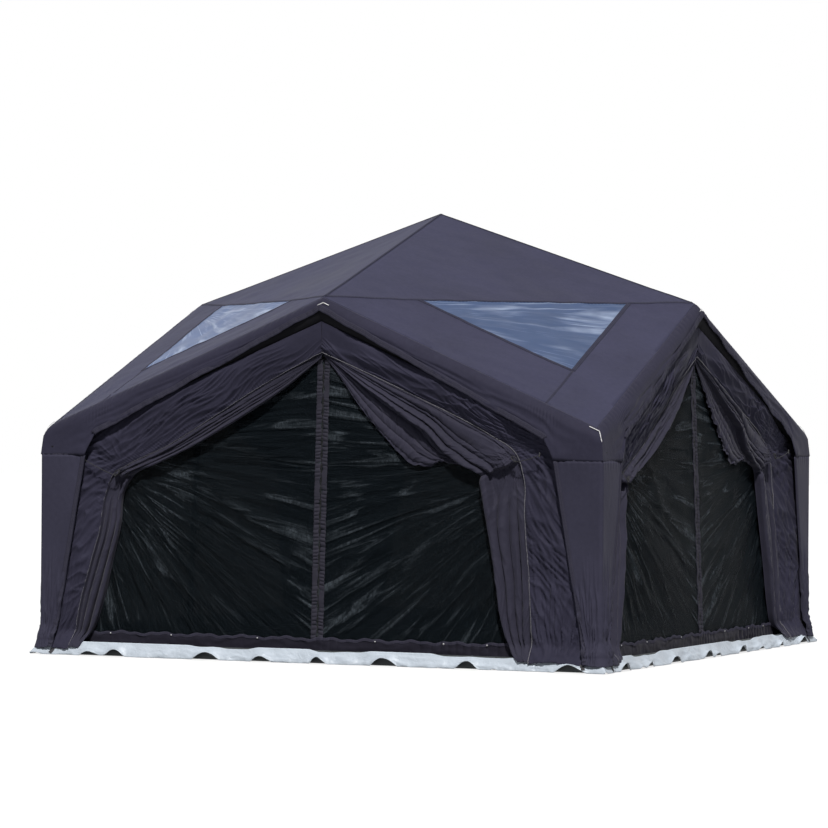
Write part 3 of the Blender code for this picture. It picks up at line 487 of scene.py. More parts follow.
# Insect netting: dark and half open, with paler streaks along the creases that fan out from the ties, painted as
# highlights on those creases
def netFinish(name, colour, highlightColour, opacity, centre):
    r = Recipe(bpy.data.materials.new(name))
    coords = r.place()
    parts = r.split(coords)
    out = r.maths("SUBTRACT", r.maths("ABSOLUTE", parts["X"]), centre[0])
    rise = r.maths("SUBTRACT", parts["Z"], centre[1])
    angle = r.maths("ARCTAN2", rise, out)
    square = r.maths("ADD", r.times(out, out), r.times(rise, rise))
    reach = r.maths("LOGARITHM", r.maths("ADD", square, 0.01), 2.718)
    polar = r.add("ShaderNodeCombineXYZ", r.times(angle, 13.0), r.times(reach, 0.8), r.maths("SIGN", parts["X"]))
    rays = r.noise(polar.outputs["Vector"], 1.6, 4.0, 0.62, (1.0, 0.8, 3.0), 1.0)
    patches = r.noise(coords, 1.7, 4.0, 0.65)
    threads = r.noise(coords, 85.0, 2.0, 0.6, (1.0, 1.0, 0.35))
    # Painted highlight: where the paler streaks fall along the creases, thinned by patches and threads
    lit = r.times(r.remap(rays, 0.54, 0.66, 0.0, 0.9), r.remap(patches, 0.36, 0.62, 0.12, 0.9))
    lit = r.times(lit, r.remap(threads, 0.35, 0.65, 0.45, 1.2))
    cover = r.remap(threads, 0.3, 0.7, opacity - 0.05, opacity + 0.03)
    r.put(colour=r.mix(lit, colour, highlightColour), alpha=r.maths("ADD", cover, r.times(lit, 0.1)),
          normal=r.bump(threads, 0.25, 0.002, r.bump(rays, 0.8, 0.04)), rough=0.46, gloss=0.015)
    return r.owner


# Clear film with a bluish cast, paler streaks along its folds painted as reflections, and a soft gloss
def filmFinish(name, colour, glareColour, opacity):
    r = Recipe(bpy.data.materials.new(name))
    coords, cut = r.place(), r.cut()
    cloud = r.noise(coords, 2.4, 3.0, 0.5, (1.0, 1.0, 2.0), 0.6)
    wide = r.remap(r.noise(cut, 1.0, 3.0, 0.55, (1.6, 13.0, 1.0), 0.4), 0.5, 0.72, 0.0, 0.75)
    thin = r.remap(r.noise(cut, 1.0, 2.0, 0.5, (1.1, 60.0, 1.0), 0.2), 0.6, 0.7, 0.0, 0.7)
    # Painted reflection: paler streaks along the folds, patchy across the film, where the film is also less clear
    paintedGlare = r.times(r.maths("MAXIMUM", wide, thin), r.remap(cloud, 0.4, 0.62, 0.15, 1.0))
    shade = r.mix(cloud, tint(colour, 0.8), tint(colour, 1.2))
    scuffs = r.bump(r.noise(coords, 30.0, 3.0, 0.6), 0.1, 0.003)
    r.put(colour=r.mix(paintedGlare, shade, glareColour), alpha=r.remap(paintedGlare, 0.0, 1.0, opacity, 0.97),
          rough=r.remap(cloud, 0.3, 0.7, 0.28, 0.42), normal=r.bump(wide, 0.4, 0.01, scuffs), gloss=0.13)
    return r.owner


# Silver coated sheet: crinkles, scuffs, and darker towards its lower edge
def sheetFinish(name, colour, lowColour):
    r = Recipe(bpy.data.materials.new(name))
    coords = r.place()
    cloud = r.noise(coords, 7.0, 4.0, 0.6)
    low = r.remap(r.split(coords)["Z"], 0.0, 0.03, 0.55, 0.0)
    lowDarkening = r.times(low, r.remap(cloud, 0.35, 0.65, 0.0, 1.0))
    base = r.mix(cloud, tint(colour, 0.82), tint(colour, 1.12))
    crinkles = r.noise(coords, 24.0, 3.0, 0.6, (1, 1, 1), 1.0)
    r.put(colour=r.mix(lowDarkening, base, lowColour), rough=r.remap(cloud, 0.3, 0.7, 0.3, 0.5),
          normal=r.bump(crinkles, 0.5, 0.01), gloss=0.6)
    return r.owner


def plainFinish(name, colour, rough, metal=0.0, grain=60.0, depth=0.0008, variation=0.15):
    r = Recipe(bpy.data.materials.new(name))
    cloud = r.noise(r.place(), grain, 3.0, 0.6)
    r.put(colour=r.mix(cloud, tint(colour, 1 - variation), tint(colour, 1 + variation)),
          rough=r.remap(cloud, 0.3, 0.7, rough * 0.85, min(1.0, rough * 1.15)),
          normal=r.bump(cloud, 0.3, depth), metal=metal)
    return r.owner


roofCloth = clothFinish("roofCloth", (0.053, 0.0535, 0.094), crinkle=0.5, sheen=0.03)
coverCloth = clothFinish("coverCloth", (0.048, 0.047, 0.076), crinkle=0.8, sheen=0.04)
wallCloth = clothFinish("wallCloth", (0.037, 0.036, 0.061), crinkle=1.0, sheen=0.04)
curtainCloth = clothFinish("curtainCloth", (0.039, 0.038, 0.06), crinkle=1.0, sheen=0.08, gloss=0.06)
hemCloth = clothFinish("hemCloth", (0.021, 0.02, 0.031), crinkle=1.0, sheen=0.05)
# Near-black sleeve cloth: dark cloth of its own, kept this dark so that the sleeve showing in the gaps under the
# fairings stands in for the shadow there (painted shade)
sleeveClothGapShade = clothFinish("sleeveClothGapShade", (0.012, 0.012, 0.015), crinkle=0.7, sheen=0.02, rough=(0.6, 0.75))
# The second colour is the painted highlight on the net's creases
netting = netFinish("netting", (0.007, 0.01, 0.013), (0.088, 0.106, 0.126), 0.82, (1.8, 1.38))
clearFilm = filmFinish("clearFilm", (0.078, 0.122, 0.25), (0.5, 0.6, 0.8), 0.8)
# A brighter, bluer copy of the film for the front left skylight: painted reflection of the sky on it
paintedGlareFilm = filmFinish("paintedGlareFilm", (0.1, 0.16, 0.34), (0.66, 0.76, 0.95), 0.85)
silverSheet = sheetFinish("silverSheet", (0.62, 0.7, 0.8), (0.1, 0.12, 0.14))
floorSheet = plainFinish("floorSheet", (0.02, 0.026, 0.03), 0.6, grain=20.0, depth=0.002)
seamTape = seamFinish("seamTape", (0.036, 0.036, 0.06), (0.07, 0.069, 0.098))
hemTape = seamFinish("hemTape", (0.041, 0.04, 0.062), (0.07, 0.067, 0.09))
piping = plainFinish("piping", (0.13, 0.128, 0.15), 0.5, grain=70.0, variation=0.7)
reflector = plainFinish("reflector", (0.7, 0.7, 0.72), 0.35, grain=300.0, depth=0.0003)
zipTape = seamFinish("zipTape", (0.038, 0.037, 0.052), (0.075, 0.072, 0.088), pitch=0.02, rowAt=0.6)
zipTeeth = plainFinish("zipTeeth", (0.01, 0.01, 0.011), 0.45, grain=200.0)
zipMetal = plainFinish("zipMetal", (0.07, 0.07, 0.075), 0.35, 0.85, grain=120.0, depth=0.0002)
cordBraid = plainFinish("cordBraid", (0.014, 0.014, 0.017), 0.7, grain=400.0, depth=0.0006)
darkPlastic = plainFinish("darkPlastic", (0.03, 0.03, 0.032), 0.4, grain=150.0, depth=0.0003)
webbing = plainFinish("webbing", (0.03, 0.03, 0.036), 0.75, grain=260.0, depth=0.001)
print("finishes made")


# Roof: one continuous cloth over the ridge cross, with a hole for each skylight
roof = {
    "cell": 0.032,           # size of the cells that the cloth is worked in
    "sag": 0.012,            # between beams
    "sagReach": 0.35,
    "pucker": 0.0022,        # beside seams
    "puckerReach": 0.06,
    "ripple": 0.0032,        # long soft folds
    "rafterCrease": 0.006,
    "creaseReach": 0.2,
    "thickness": 0.0024,
    "filmCell": 0.018,
    "filmFold": 0.0022,
    "filmThickness": 0.0014,
    "ridgeLift": 0.003,      # keeps the cloth over the ends of the ridge beams
    "weld": 0.002,
}

nearEdge = lineMeets(archPeak + hipPlane[0] * skinRadius, rafterWay, middlePlane)
nearCorner = lineMeets(nearEdge, rafterWay, cornerPlane)
farEdge = turned(nearEdge * (-1, 1, 1), 1)
farWay = turned(rafterWay * (-1, 1, 1), 1)


def hipPoints(quarter):
    onFar = quarter % 2 == 0
    nearShare = tent["bandNearFront"] if onFar else tent["bandNearSide"]
    farShare = tent["bandNearSide"] if onFar else tent["bandNearFront"]
    span = nextEnd - ridgeEnd
    nearWindow = ridgeEnd + span * nearShare
    farWindow = nextEnd - span * farShare
    farSide = planeAt(farWindow, np.cross(hipPlane[0], farWay))
    nearSide = planeAt(nearWindow, np.cross(hipPlane[0], rafterWay))
    point = lineMeets(nearWindow, rafterWay, farSide)
    seamEnd = lineMeets(nearEdge, rafterWay, farSide) if onFar else lineMeets(farEdge, farWay, nearSide)
    return onFar, nearWindow, farWindow, point, seamEnd


def cutCloth(outlines, cell):
    bm = bmesh.new()
    for outline in outlines:
        bm.faces.new([bm.verts.new(tuple(p)) for p in outline])
    bmesh.ops.remove_doubles(bm, verts=bm.verts, dist=0.0005)
    for axis in (0, 1):
        spots = [v.co[axis] for v in bm.verts]
        way = [0.0, 0.0, 0.0]
        way[axis] = 1.0
        for k in range(math.ceil(min(spots) / cell), math.floor(max(spots) / cell) + 1):
            bmesh.ops.bisect_plane(bm, geom=bm.verts[:] + bm.edges[:] + bm.faces[:], dist=0.0004,
                                   plane_co=[k * cell * w for w in way], plane_no=way)
    for edge in bm.edges:
        edge.smooth = True
    bmesh.ops.remove_doubles(bm, verts=bm.verts, dist=roof["weld"])
    bmesh.ops.recalc_face_normals(bm, faces=bm.faces)
    if sum(f.normal.z for f in bm.faces) < 0:
        bmesh.ops.reverse_faces(bm, faces=bm.faces)
    bm.normal_update()
    return bm, np.array([v.co for v in bm.verts]), np.array([v.normal for v in bm.verts])


def moveTo(bm, points):
    for vert, co in zip(bm.verts, points):
        vert.co = co


def toSegment(points, a, b):
    a, b = np.asarray(a), np.asarray(b)
    way = b - a
    t = np.clip((points - a) @ way / (way @ way), 0, 1)
    near = a + t[:, None] * way
    return np.linalg.norm(points - near, axis=1), t * np.linalg.norm(way)


roofRipples = Ripples(11)
fineRipples = Ripples(12, 18, 0.5, 2.0)


def roofSegments():
    carried = []
    seams = []
    for quarter in range(4):
        nearWindow, farWindow, point, seamEnd = hipPoints(quarter)[1:]
        beams = ((apex, ridgeEnd), (nearEdge, nearCorner), (farEdge, nearCorner))
        sewn = ((ridgeEnd, nextEnd), (nearWindow, point), (farWindow, point), (point, seamEnd))
        carried += [(turned(a, quarter), turned(b, quarter)) for a, b in beams]
        seams += [(turned(a, quarter), turned(b, quarter)) for a, b in sewn]
    return carried, seams


roofCarried, roofSeams = roofSegments()


def roofShape(points, normals):
    carry = np.min([toSegment(points, a, b)[0] for a, b in roofCarried], axis=0)
    height = -roof["sag"] * (1 - np.exp(-(carry / roof["sagReach"]) ** 2))
    for i, (a, b) in enumerate(roofSeams + roofCarried):
        away, along = toSegment(points, a, b)
        swing = 0.6 * sway(along, 0.06, 2.1 * np.sin(along * 9 + i)) + sway(along, 0.11, i)
        beside = np.exp(-(away / roof["puckerReach"]) ** 2) * ease(away, 0.0, 0.012)
        height = height + roof["pucker"] * 0.5 * swing * beside
    soft = 0.6 * roofRipples.at(points, 1.1) + 0.4 * fineRipples.at(points, 3.4)
    height = height + roof["ripple"] * soft * ease(carry, 0.02, 0.2)
    for i, (a, b) in enumerate(roofCarried):                      # long creases beside each rafter
        if i % 3:
            away, along = toSegment(points, a, b)
            beside = np.exp(-(away / roof["creaseReach"]) ** 2) * ease(away, 0.01, 0.08)
            height = height + roof["rafterCrease"] * ridges(along * 1.4, away * 9, 17 + i) * beside
    near = np.min([np.linalg.norm(points - turned(ridgeEnd, quarter), axis=1) for quarter in range(4)], axis=0)
    clear = ease(near, 0.12, 0.36)
    return points + normals * (height * clear + roof["ridgeLift"] * (1 - clear))[:, None]


def makeRoof():
    outlines = []
    for quarter in range(4):
        onFar, nearWindow, farWindow, point, seamEnd = hipPoints(quarter)
        near = (ridgeEnd, nearEdge, seamEnd, point, nearWindow)
        far = (farWindow, point, seamEnd, nearCorner, farEdge, nextEnd)
        if not onFar:
            near = (ridgeEnd, nearEdge, nearCorner, seamEnd, point, nearWindow)
            far = (farWindow, point, seamEnd, farEdge, nextEnd)
        for outline in ((apex, ridgeEnd, nearWindow, farWindow, nextEnd), near, far):
            outlines.append([turned(v, quarter) for v in outline])
    bm, points, normals = cutCloth(outlines, roof["cell"])
    moveTo(bm, roofShape(points, normals))
    nodes = ["top_panel_" + c for c in cornerNames] + [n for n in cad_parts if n.startswith("hip_band")]
    made = dress("roofSkin", meshOf(bm, "roofSkin"), roofCloth, 0, nodes, roof["thickness"], -1.0)


makeRoof()
print("roof laid")


# Skylights: clear film in the hips, drawn tight with long folds from beyond one corner
def makeSkylights():
    for quarter, corner in enumerate(cornerNames):
        near, far, point = [turned(v, quarter) for v in hipPoints(quarter)[1:4]]
        bm, points, normals = cutCloth([(near, point, far)], roof["filmCell"])
        edges = ((near, far), (far, point), (point, near))
        inside = np.min([toSegment(points, a, b)[0] for a, b in edges], axis=0)
        along = unit(far - near)
        spread = points - (near - 0.35 * (far - near) + 0.1 * (point - near))
        level = spread @ along
        angle = np.arctan2(spread @ np.cross(turned(hipPlane[0], quarter), along), level)
        height = roof["filmFold"] * ridges(level * 0.9, angle * 9, 15) * ease(inside, 0.0, 0.08)
        moveTo(bm, roofShape(points, normals) + normals * height[:, None])
        mesh = meshOf(bm, "skylightFilm")
        cutTo(mesh, np.stack((level, angle), axis=1))
        # The front left skylight takes the copy with more painted reflection
        film = paintedGlareFilm if corner == "front_left" else clearFilm
        made = dress("skylightFilm_" + corner, mesh, film, 0, ["skylight_" + corner],
                     roof["filmThickness"], -1.0)


makeSkylights()
print("skylights fitted")


# Seams of the roof: taped strips with stitches, each with its width
seams = {"lift": 0.0012, "step": 0.03, "ridge": 0.018, "crease": 0.022, "border": 0.03, "hip": 0.016}


def makeRoofSeams():
    hip = hipPlane[0]
    top = planeAt(apex, np.cross(ridgeEnd - apex, nextEnd - apex))[0]
    ridge = unit(up + 0.2 * unit(ridgeEnd * (1, 1, 0)))
    for quarter, corner in enumerate(cornerNames):
        nearWindow, farWindow, point, seamEnd = hipPoints(quarter)[1:]
        strips = (
            ("ridgeSeam_" + sideNames[quarter], apex, ridgeEnd, ridge, seams["ridge"]),
            ("creaseSeam_" + corner, ridgeEnd, nextEnd, unit(hip + top), seams["crease"]),
            ("filmBorderNear_" + corner, nearWindow, point, hip, seams["border"]),
            ("filmBorderFar_" + corner, farWindow, point, hip, seams["border"]),
            ("hipSeam_" + corner, point, seamEnd, hip, seams["hip"]),
        )
        for name, a, b, normal, width in strips:
            a, b, normal = [turned(v, quarter) for v in (a, b, normal)]
            line = np.linspace(a, b, max(3, int(np.linalg.norm(b - a) / seams["step"])))
            line = roofShape(line, np.tile(normal, (len(line), 1)))
            dress(name, ribbonMesh(name, line, normal, width, seams["lift"]), seamTape, 0)


makeRoofSeams()


# Gable fairings: cloth wrapped round each arch, hanging to a wavy hem
fairing = {
    "columns": 700,
    "arcRows": 12,
    "tailRows": 12,
    "pucker": 0.0042,
    "hemWave": 0.003,
    "hemSwing": 0.009,
    "thickness": 0.0022,
    "peakDrop": 0.006,
    "slotWidth": 0.40,
    "slotRise": 0.135,
    "panelWidth": 0.33,
    "bindWidth": 0.038,
    "bindThickness": 0.0034,
    "seamWidth": 0.016,
    "shortFold": 0.058,      # wavelengths of the creases along the arch
    "tinyFold": 0.024,
    "hemLength": 0.34,
    "swingLength": 0.31,
    "stretch": 1.09,         # length of the rafter for each metre across
}
fairingRipples = Ripples(21, 16, 0.4, 1.8)


def fairingHem():
    slotOut = half - fairing["slotWidth"]
    tangent = archPeak + gablePlane[0] * skinRadius
    peakHem = meet(gablePlane, middlePlane, (up, tangent[2] - fairing["peakDrop"]))
    slotCorner = meet(gablePlane, (across, slotOut), (up, tent["seam"] + fairing["slotRise"]))
    inner = meet(gablePlane, (across, half - fairing["panelWidth"]), (up, tent["seam"]))
    outer = meet(gablePlane, cornerPlane, (up, tent["seam"]))
    return peakHem, slotCorner, inner, outer


def makeFairings():
    f = fairing
    peakHem, slotCorner, inner, outer = fairingHem()
    lengthTo = float(outer[0])
    spots = np.array((0.0, slotCorner[0] * 0.5, slotCorner[0], inner[0], outer[0])) / lengthTo
    hemPoints = np.array((peakHem, (peakHem + slotCorner) / 2, slotCorner, inner, outer))
    shares = np.linspace(0, 1, f["columns"] // 2 + 1)
    hem = np.array([np.interp(shares, spots, hemPoints[:, k]) for k in range(3)]).T
    columns = []
    for share in np.linspace(0, 1, f["arcRows"] + 1):              # round the arch
        way = math.sin((1 - share) * skinTurn) * hipPlane[0] + math.sin(share * skinTurn) * gablePlane[0]
        spot = archPeak + way / math.sin(skinTurn) * (skinRadius - 0.0006)
        start, end = [lineMeets(spot, rafterWay, plane) for plane in (middlePlane, cornerPlane)]
        columns.append(start + (end - start) * shares[:, None])
    last = columns[-1]
    for share in np.linspace(0, 1, f["tailRows"] + 1)[1:]:         # down to the hem
        columns.append(last + (hem - last) * share)
    right = np.array(columns).transpose(1, 0, 2)
    left = right[:0:-1] * np.array((-1.0, 1.0, 1.0))
    grid = np.concatenate((left, right))
    normals = gridNormals(grid)
    if normals[:, :, 1].mean() > 0:
        normals = -normals
    out = np.abs(grid[:, :, 0]) / lengthTo
    down = np.concatenate((np.linspace(0, 0.45, f["arcRows"] + 1), np.linspace(0.45, 1, f["tailRows"] + 1)[1:]))
    along = grid[:, :, 0] * f["stretch"]
    uneven = 2.1 * np.sin(along * 7.3) + 1.6 * np.sin(along * 17) + 1.5 * down
    short = foldShape(along * 2 * math.pi / f["shortFold"] + uneven)
    tiny = np.abs(np.sin(along * math.pi / f["tinyFold"] + 0.5 * np.sin(along * 23))) ** 0.6 * 2 - 1.3
    broad = fairingRipples.at(grid, 2.2)
    seamSide = np.exp(-((down - 0.12) / 0.1) ** 2) * ease(broad, -0.6, 0.9)
    nearEnd = np.exp(-((out - 0.79) / 0.05) ** 2) * np.exp(-((down - 0.4) / 0.16) ** 2)
    long = ridges(along * 1.3, down * 4.2 + 0.5 * np.sin(along * 2.3), 22)
    long = 1.9 * long * ease(out, 0.03, 0.25) * (1 - ease(out, 0.84, 0.93)) * ease(down, 0.3, 0.5)
    free = 1 - ease(out, 0.84, 0.9)                                # where the hem hangs free
    stitched = np.exp(-((down - 0.84) / 0.02) ** 2) * (1 - ease(out, 0.84, 0.88))
    height = 0.4 * short * seamSide + 1.2 * nearEnd * tiny + 0.5 * broad * ease(down, 0.2, 0.5) + long
    height = f["pucker"] * (height + 0.35 * short * ease(down, 0.84, 0.9) * free - 0.9 * stitched)
    grid = grid + normals * (height * (1 - 0.7 * ease(out, 0.93, 1.0)))[:, :, None]
    lower = ease(down, 0.55, 1.0) * free
    swing = sway(along, f["hemLength"], 1.9 * np.sin(along * 3.1)) + 0.4 * sway(along, 0.09, 2.0)
    grid[:, :, 2] += f["hemWave"] * 0.8 * swing * lower
    proud = 0.5 + 0.5 * sway(along, f["swingLength"], 0.8 + np.sin(along * 5))
    grid = grid + normals * (f["hemSwing"] * lower * proud)[:, :, None]
    mesh = gridMesh("gableFairing", grid)
    hemLine = grid[:, -1]
    keep = np.abs(hemLine[:, 0]) < slotCorner[0] + 0.01
    hemLine = hemLine[keep] + np.array((0, 0, f["bindWidth"] * 0.45))
    bind = ribbonMesh("fairingBinding", hemLine, normals[:, -1][keep], f["bindWidth"], 0.002, f["bindThickness"])
    seam = ribbonMesh("rafterSeam", grid[2:-2, 1], normals[2:-2, 1], f["seamWidth"], 0.001)
    for quarter, side in enumerate(sideNames):
        made = dress("gableFairing_" + side, mesh, wallCloth, quarter, ["gable_fairing_" + side],
                     f["thickness"], 1.0)
        dress("fairingBinding_" + side, bind, hemTape, quarter)
        dress("rafterSeam_" + side, seam, seamTape, quarter)


makeFairings()
print("fairings hung")


# Leg covers: the corner walls, folded round each corner
cover = {
    "topWidth": 0.33,
    "footWidth": 0.11,
    "rows": 70,
    "wingColumns": 40,
    "round": 0.02,
    "crease": 0.004,
    "footCrease": 0.022,
    "hem": 0.05,             # hangs over the top of the skirt
    "hemWidth": 0.03,        # rolled hem down each free side
    "hemThick": 0.011,
    "seamWidth": 0.014,
    "bulge": 0.01,           # over the groundsheet's upstand
    "spread": 0.022,         # clear of the skirt at the foot
    "thickness": 0.0022,
}
coverRipples = Ripples(31, 16, 0.4, 1.6)


def makeLegCovers():
    c = cover
    upper = np.linspace(0.2, tent["seam"] - 0.001, c["rows"])[1:]
    heights = np.concatenate((np.linspace(c["hem"], 0.2, 24), upper))
    rise = (heights - heights[0]) / (heights[-1] - heights[0])
    shares = np.arange(c["wingColumns"] + 1) / c["wingColumns"]
    inner = half - c["round"]
    rows = []
    for z, w in zip(heights, c["footWidth"] + (c["topWidth"] - c["footWidth"]) * rise):
        row = [(half - w + (w - c["round"]) * share, -half, z) for share in shares[:-1]]
        for a in np.linspace(0, math.pi / 2, 7):
            row.append((inner + c["round"] * math.sin(a), -inner - c["round"] * math.cos(a), z))
        row += [(half, -inner + (w - c["round"]) * share, z) for share in shares[1:]]
        rows.append(row)
    grid = np.array(rows)
    normals = gridNormals(grid)
    if (normals[:, 0, 1] > 0).mean() > 0.5:
        normals = -normals
    z = grid[:, :, 2]
    away = np.minimum(np.abs(half - grid[:, :, 0]) + np.abs(-half - grid[:, :, 1]), 1.0)
    low = 1 - ease(z, 0.1, 0.8)
    folds = fanRidges(away, z, (0.05, -0.1), 32, 15.0) * ease(away, 0.0, 0.03)
    crumple = ridges(z * 9, away * 14, 36) * (1 - ease(z, 0.08, 0.24))
    height = c["footCrease"] * ((folds + 0.35) * low * (0.35 + 0.65 * ease(z, 0.06, 0.2)) + 0.12 * crumple)
    height = height + c["crease"] * 0.5 * coverRipples.at(grid, 1.8) * ease(away, 0.0, 0.08)
    height = height + 0.0014 * np.exp(-((tent["seam"] - z) / 0.05) ** 2) * sway(away, 0.045)      # below the seam
    height = height + c["bulge"] * np.exp(-((z - 0.11) / 0.05) ** 2)
    height = np.maximum(height, -0.003) * ease(away, 0.0, 0.04)
    grid = grid + normals * height[:, :, None]
    z = grid[:, :, 2]
    outside = c["spread"] * ease(0.2 - z, 0.0, 0.1) + 0.44 * np.maximum(0.095 - z, 0)     # over the skirt
    grid = grid + normals * outside[:, :, None]
    grid[:, :, 2] -= 0.008 * np.sin(away * 21 + 1) * ease(0.1 - grid[:, :, 2], 0.0, 0.05)
    mesh = gridMesh("legCover", grid)
    hems = [ribbonMesh("coverHem", grid[:, end] + shift, normals[:, end], c["hemWidth"], 0.0, c["hemThick"])
            for end, shift in ((0, (0.012, 0, 0)), (-1, (0, -0.012, 0)))]
    seam = ribbonMesh("wallSeam", grid[-1, :], normals[-1], c["seamWidth"], 0.001)
    for quarter, corner in enumerate(cornerNames):
        made = dress("legCover_" + corner, mesh, coverCloth, quarter, ["leg_cover_" + corner],
                     c["thickness"], 1.0)
        for name, part in (("coverHemNear_", hems[0]), ("coverHemFar_", hems[1]), ("wallSeam_", seam)):
            dress(name + corner, part, hemTape, quarter)


makeLegCovers()
print("leg covers folded")


# Air beams in their sleeves
beam = {
    "sides": 28,
    "archRows": 40,          # on each half
    "legRows": 36,
    "archSize": (0.992, 0.004),      # share of the solid's radius, and how much it swells and narrows
    "legSize": (0.99, 0.005),
    "footSize": 0.94,
    "archEnd": 0.02,         # short of the corner, and of the leg's top
}


def makeBeams():
    b = beam
    rafter = archCorner - rafterWay * b["archEnd"] - archPeak
    rightHalf = archPeak + rafter * np.linspace(0, 1, b["archRows"])[:, None]
    line = np.concatenate((rightHalf[::-1] * np.array((-1, 1, 1)), rightHalf[1:]))
    size, uneven = b["archSize"]
    swell = tent["archRadius"] * (size + uneven * np.sin(np.arange(len(line)) * 1.3))
    for quarter, side in enumerate(sideNames):
        made = dress("archBeam_" + side, tubeMesh("archBeam", line, swell, b["sides"]), sleeveClothGapShade, quarter,
                     ["gable_arch_" + side])
    size, uneven = b["legSize"]
    swell = tent["legRadius"] * (size + uneven * np.sin(np.arange(b["legRows"]) * 1.7))
    swell[0] *= b["footSize"]
    for quarter, corner in enumerate(cornerNames):
        low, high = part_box("air_leg_" + corner)
        heights = np.linspace(low.z + 0.001, high.z - b["archEnd"], b["legRows"])
        line = [(tent["legAxis"], -tent["legAxis"], z) for z in heights]
        made = dress("legBeam_" + corner, tubeMesh("legBeam", line, swell, b["sides"]), sleeveClothGapShade, quarter,
                     ["air_leg_" + corner])
    coat(sleeveClothGapShade, "ridge_cross")


makeBeams()
print("beams blown up")


# Mesh screens with creases that fan out from the ties
screen = {
    "step": 0.012,
    "rows": 180,
    "side": 1.838,
    "foot": 0.03,
    "fold": 0.0075,
    "fanOut": 1.82,
    "fanUp": 1.38,
    "proud": 0.009,          # crests stay clear of the curtains
    "thickness": 0.001,
    "topClear": 0.088,       # below the arch
    "hemHeight": 0.15,
    "hemOut": 0.013,         # in front of the net
    "hemPucker": 0.005,
    "hemFold": 0.06,         # wavelength of its folds
    "hemThickness": 0.0016,
}


def makeScreens():
    s = screen
    xs = np.linspace(-s["side"], s["side"], int(2 * s["side"] / s["step"]))
    tops = archPeak[2] + rafterWay[2] * (np.abs(xs) / rafterWay[0])[:, None] - s["topClear"]
    z = s["foot"] + (tops - s["foot"]) * np.linspace(0, 1, s["rows"])[None, :]
    x = np.repeat(xs[:, None], s["rows"], axis=1)
    outward = np.abs(x) + 0.0005 * np.sign(x)
    folds = fanRidges(outward + 9 * (x > 0), z, (s["fanOut"] + 9 * (x > 0), s["fanUp"]), 42, 7.0)
    broad = fanRidges(outward, z, (s["fanOut"], s["fanUp"] + 0.1), 44, 1.8)
    reach = np.hypot(z - s["fanUp"], s["fanOut"] - np.abs(x))
    border = ease(z, 0.16, 0.35) * ease(tops - z, 0.0, 0.12) * ease(s["side"] - np.abs(x), 0.0, 0.1)
    height = s["fold"] * (folds + 1.3 * broad) * ease(reach, 0.05, 0.5) * border * ease(np.abs(x), 0.05, 0.2)
    mesh = gridMesh("meshScreen", np.stack((x, screenDepth(z) - np.minimum(height, s["proud"]), z), axis=2))
    hemX, hemZ = np.linspace(-s["side"], s["side"], 700), np.linspace(0.02, s["hemHeight"], 14)
    hx, hz = np.meshgrid(hemX, hemZ, indexing="ij")
    swell = Ripples(46, 14, 0.5, 1.5).at(np.stack((hx * 1.5, hz, 0 * hx), axis=2))
    uneven = 2.5 * np.sin(hx * 5) + 1.5 * np.sin(hx * 13)
    pucker = foldShape(hx * 2 * math.pi / s["hemFold"] + uneven) * ease(hz, 0.0, 0.1)
    pucker = s["hemPucker"] * pucker * ease(swell, -0.6, 0.8)
    pucker = pucker + 0.004 * ridges(hx * 2.5, hz * 11, 45) + 0.0018 * ridges(hx * 9, hz * 14, 47)
    drop = 0.006 * np.sin(hx * 21) + 0.004 * np.sin(hx * 57 + 1)
    hemGrid = np.stack((hx, screenDepth(hz) - s["hemOut"] - pucker, hz + drop * ease(hz, 0.08, 0.15)), axis=2)
    hemMesh = gridMesh("screenHem", hemGrid)
    seam = ribbonMesh("screenHemSeam", hemGrid[:, -1], screenOut, 0.02, 0.0015)
    for quarter, side in enumerate(sideNames):
        made = dress("meshScreen_" + side, mesh, netting, quarter, ["mesh_screen_" + side],
                     s["thickness"])
        band = dress("screenHem_" + side, hemMesh, hemCloth, quarter, thickness=s["hemThickness"])
        dress("screenHemSeam_" + side, seam, hemTape, quarter)


makeScreens()
print("screens stretched")


# Zip: two stitched tapes and a row of coil turns on each
zipper = {
    "bottom": 0.012,
    "top": 1.95,
    "slit": 0.0009,
    "tape": 0.044,
    "gap": 0.007,            # the coil shows between the tapes
    "coilWidth": 0.0042,
    "coilDepth": 0.0034,
    "coilPinch": 0.72,       # the coil's turns are narrower in front and behind
    "pitch": 0.006,
    "pucker": 0.0036,
    "wave": 0.0022,
    "out": 0.004,            # in front of the net
    "thickness": 0.0011,
}


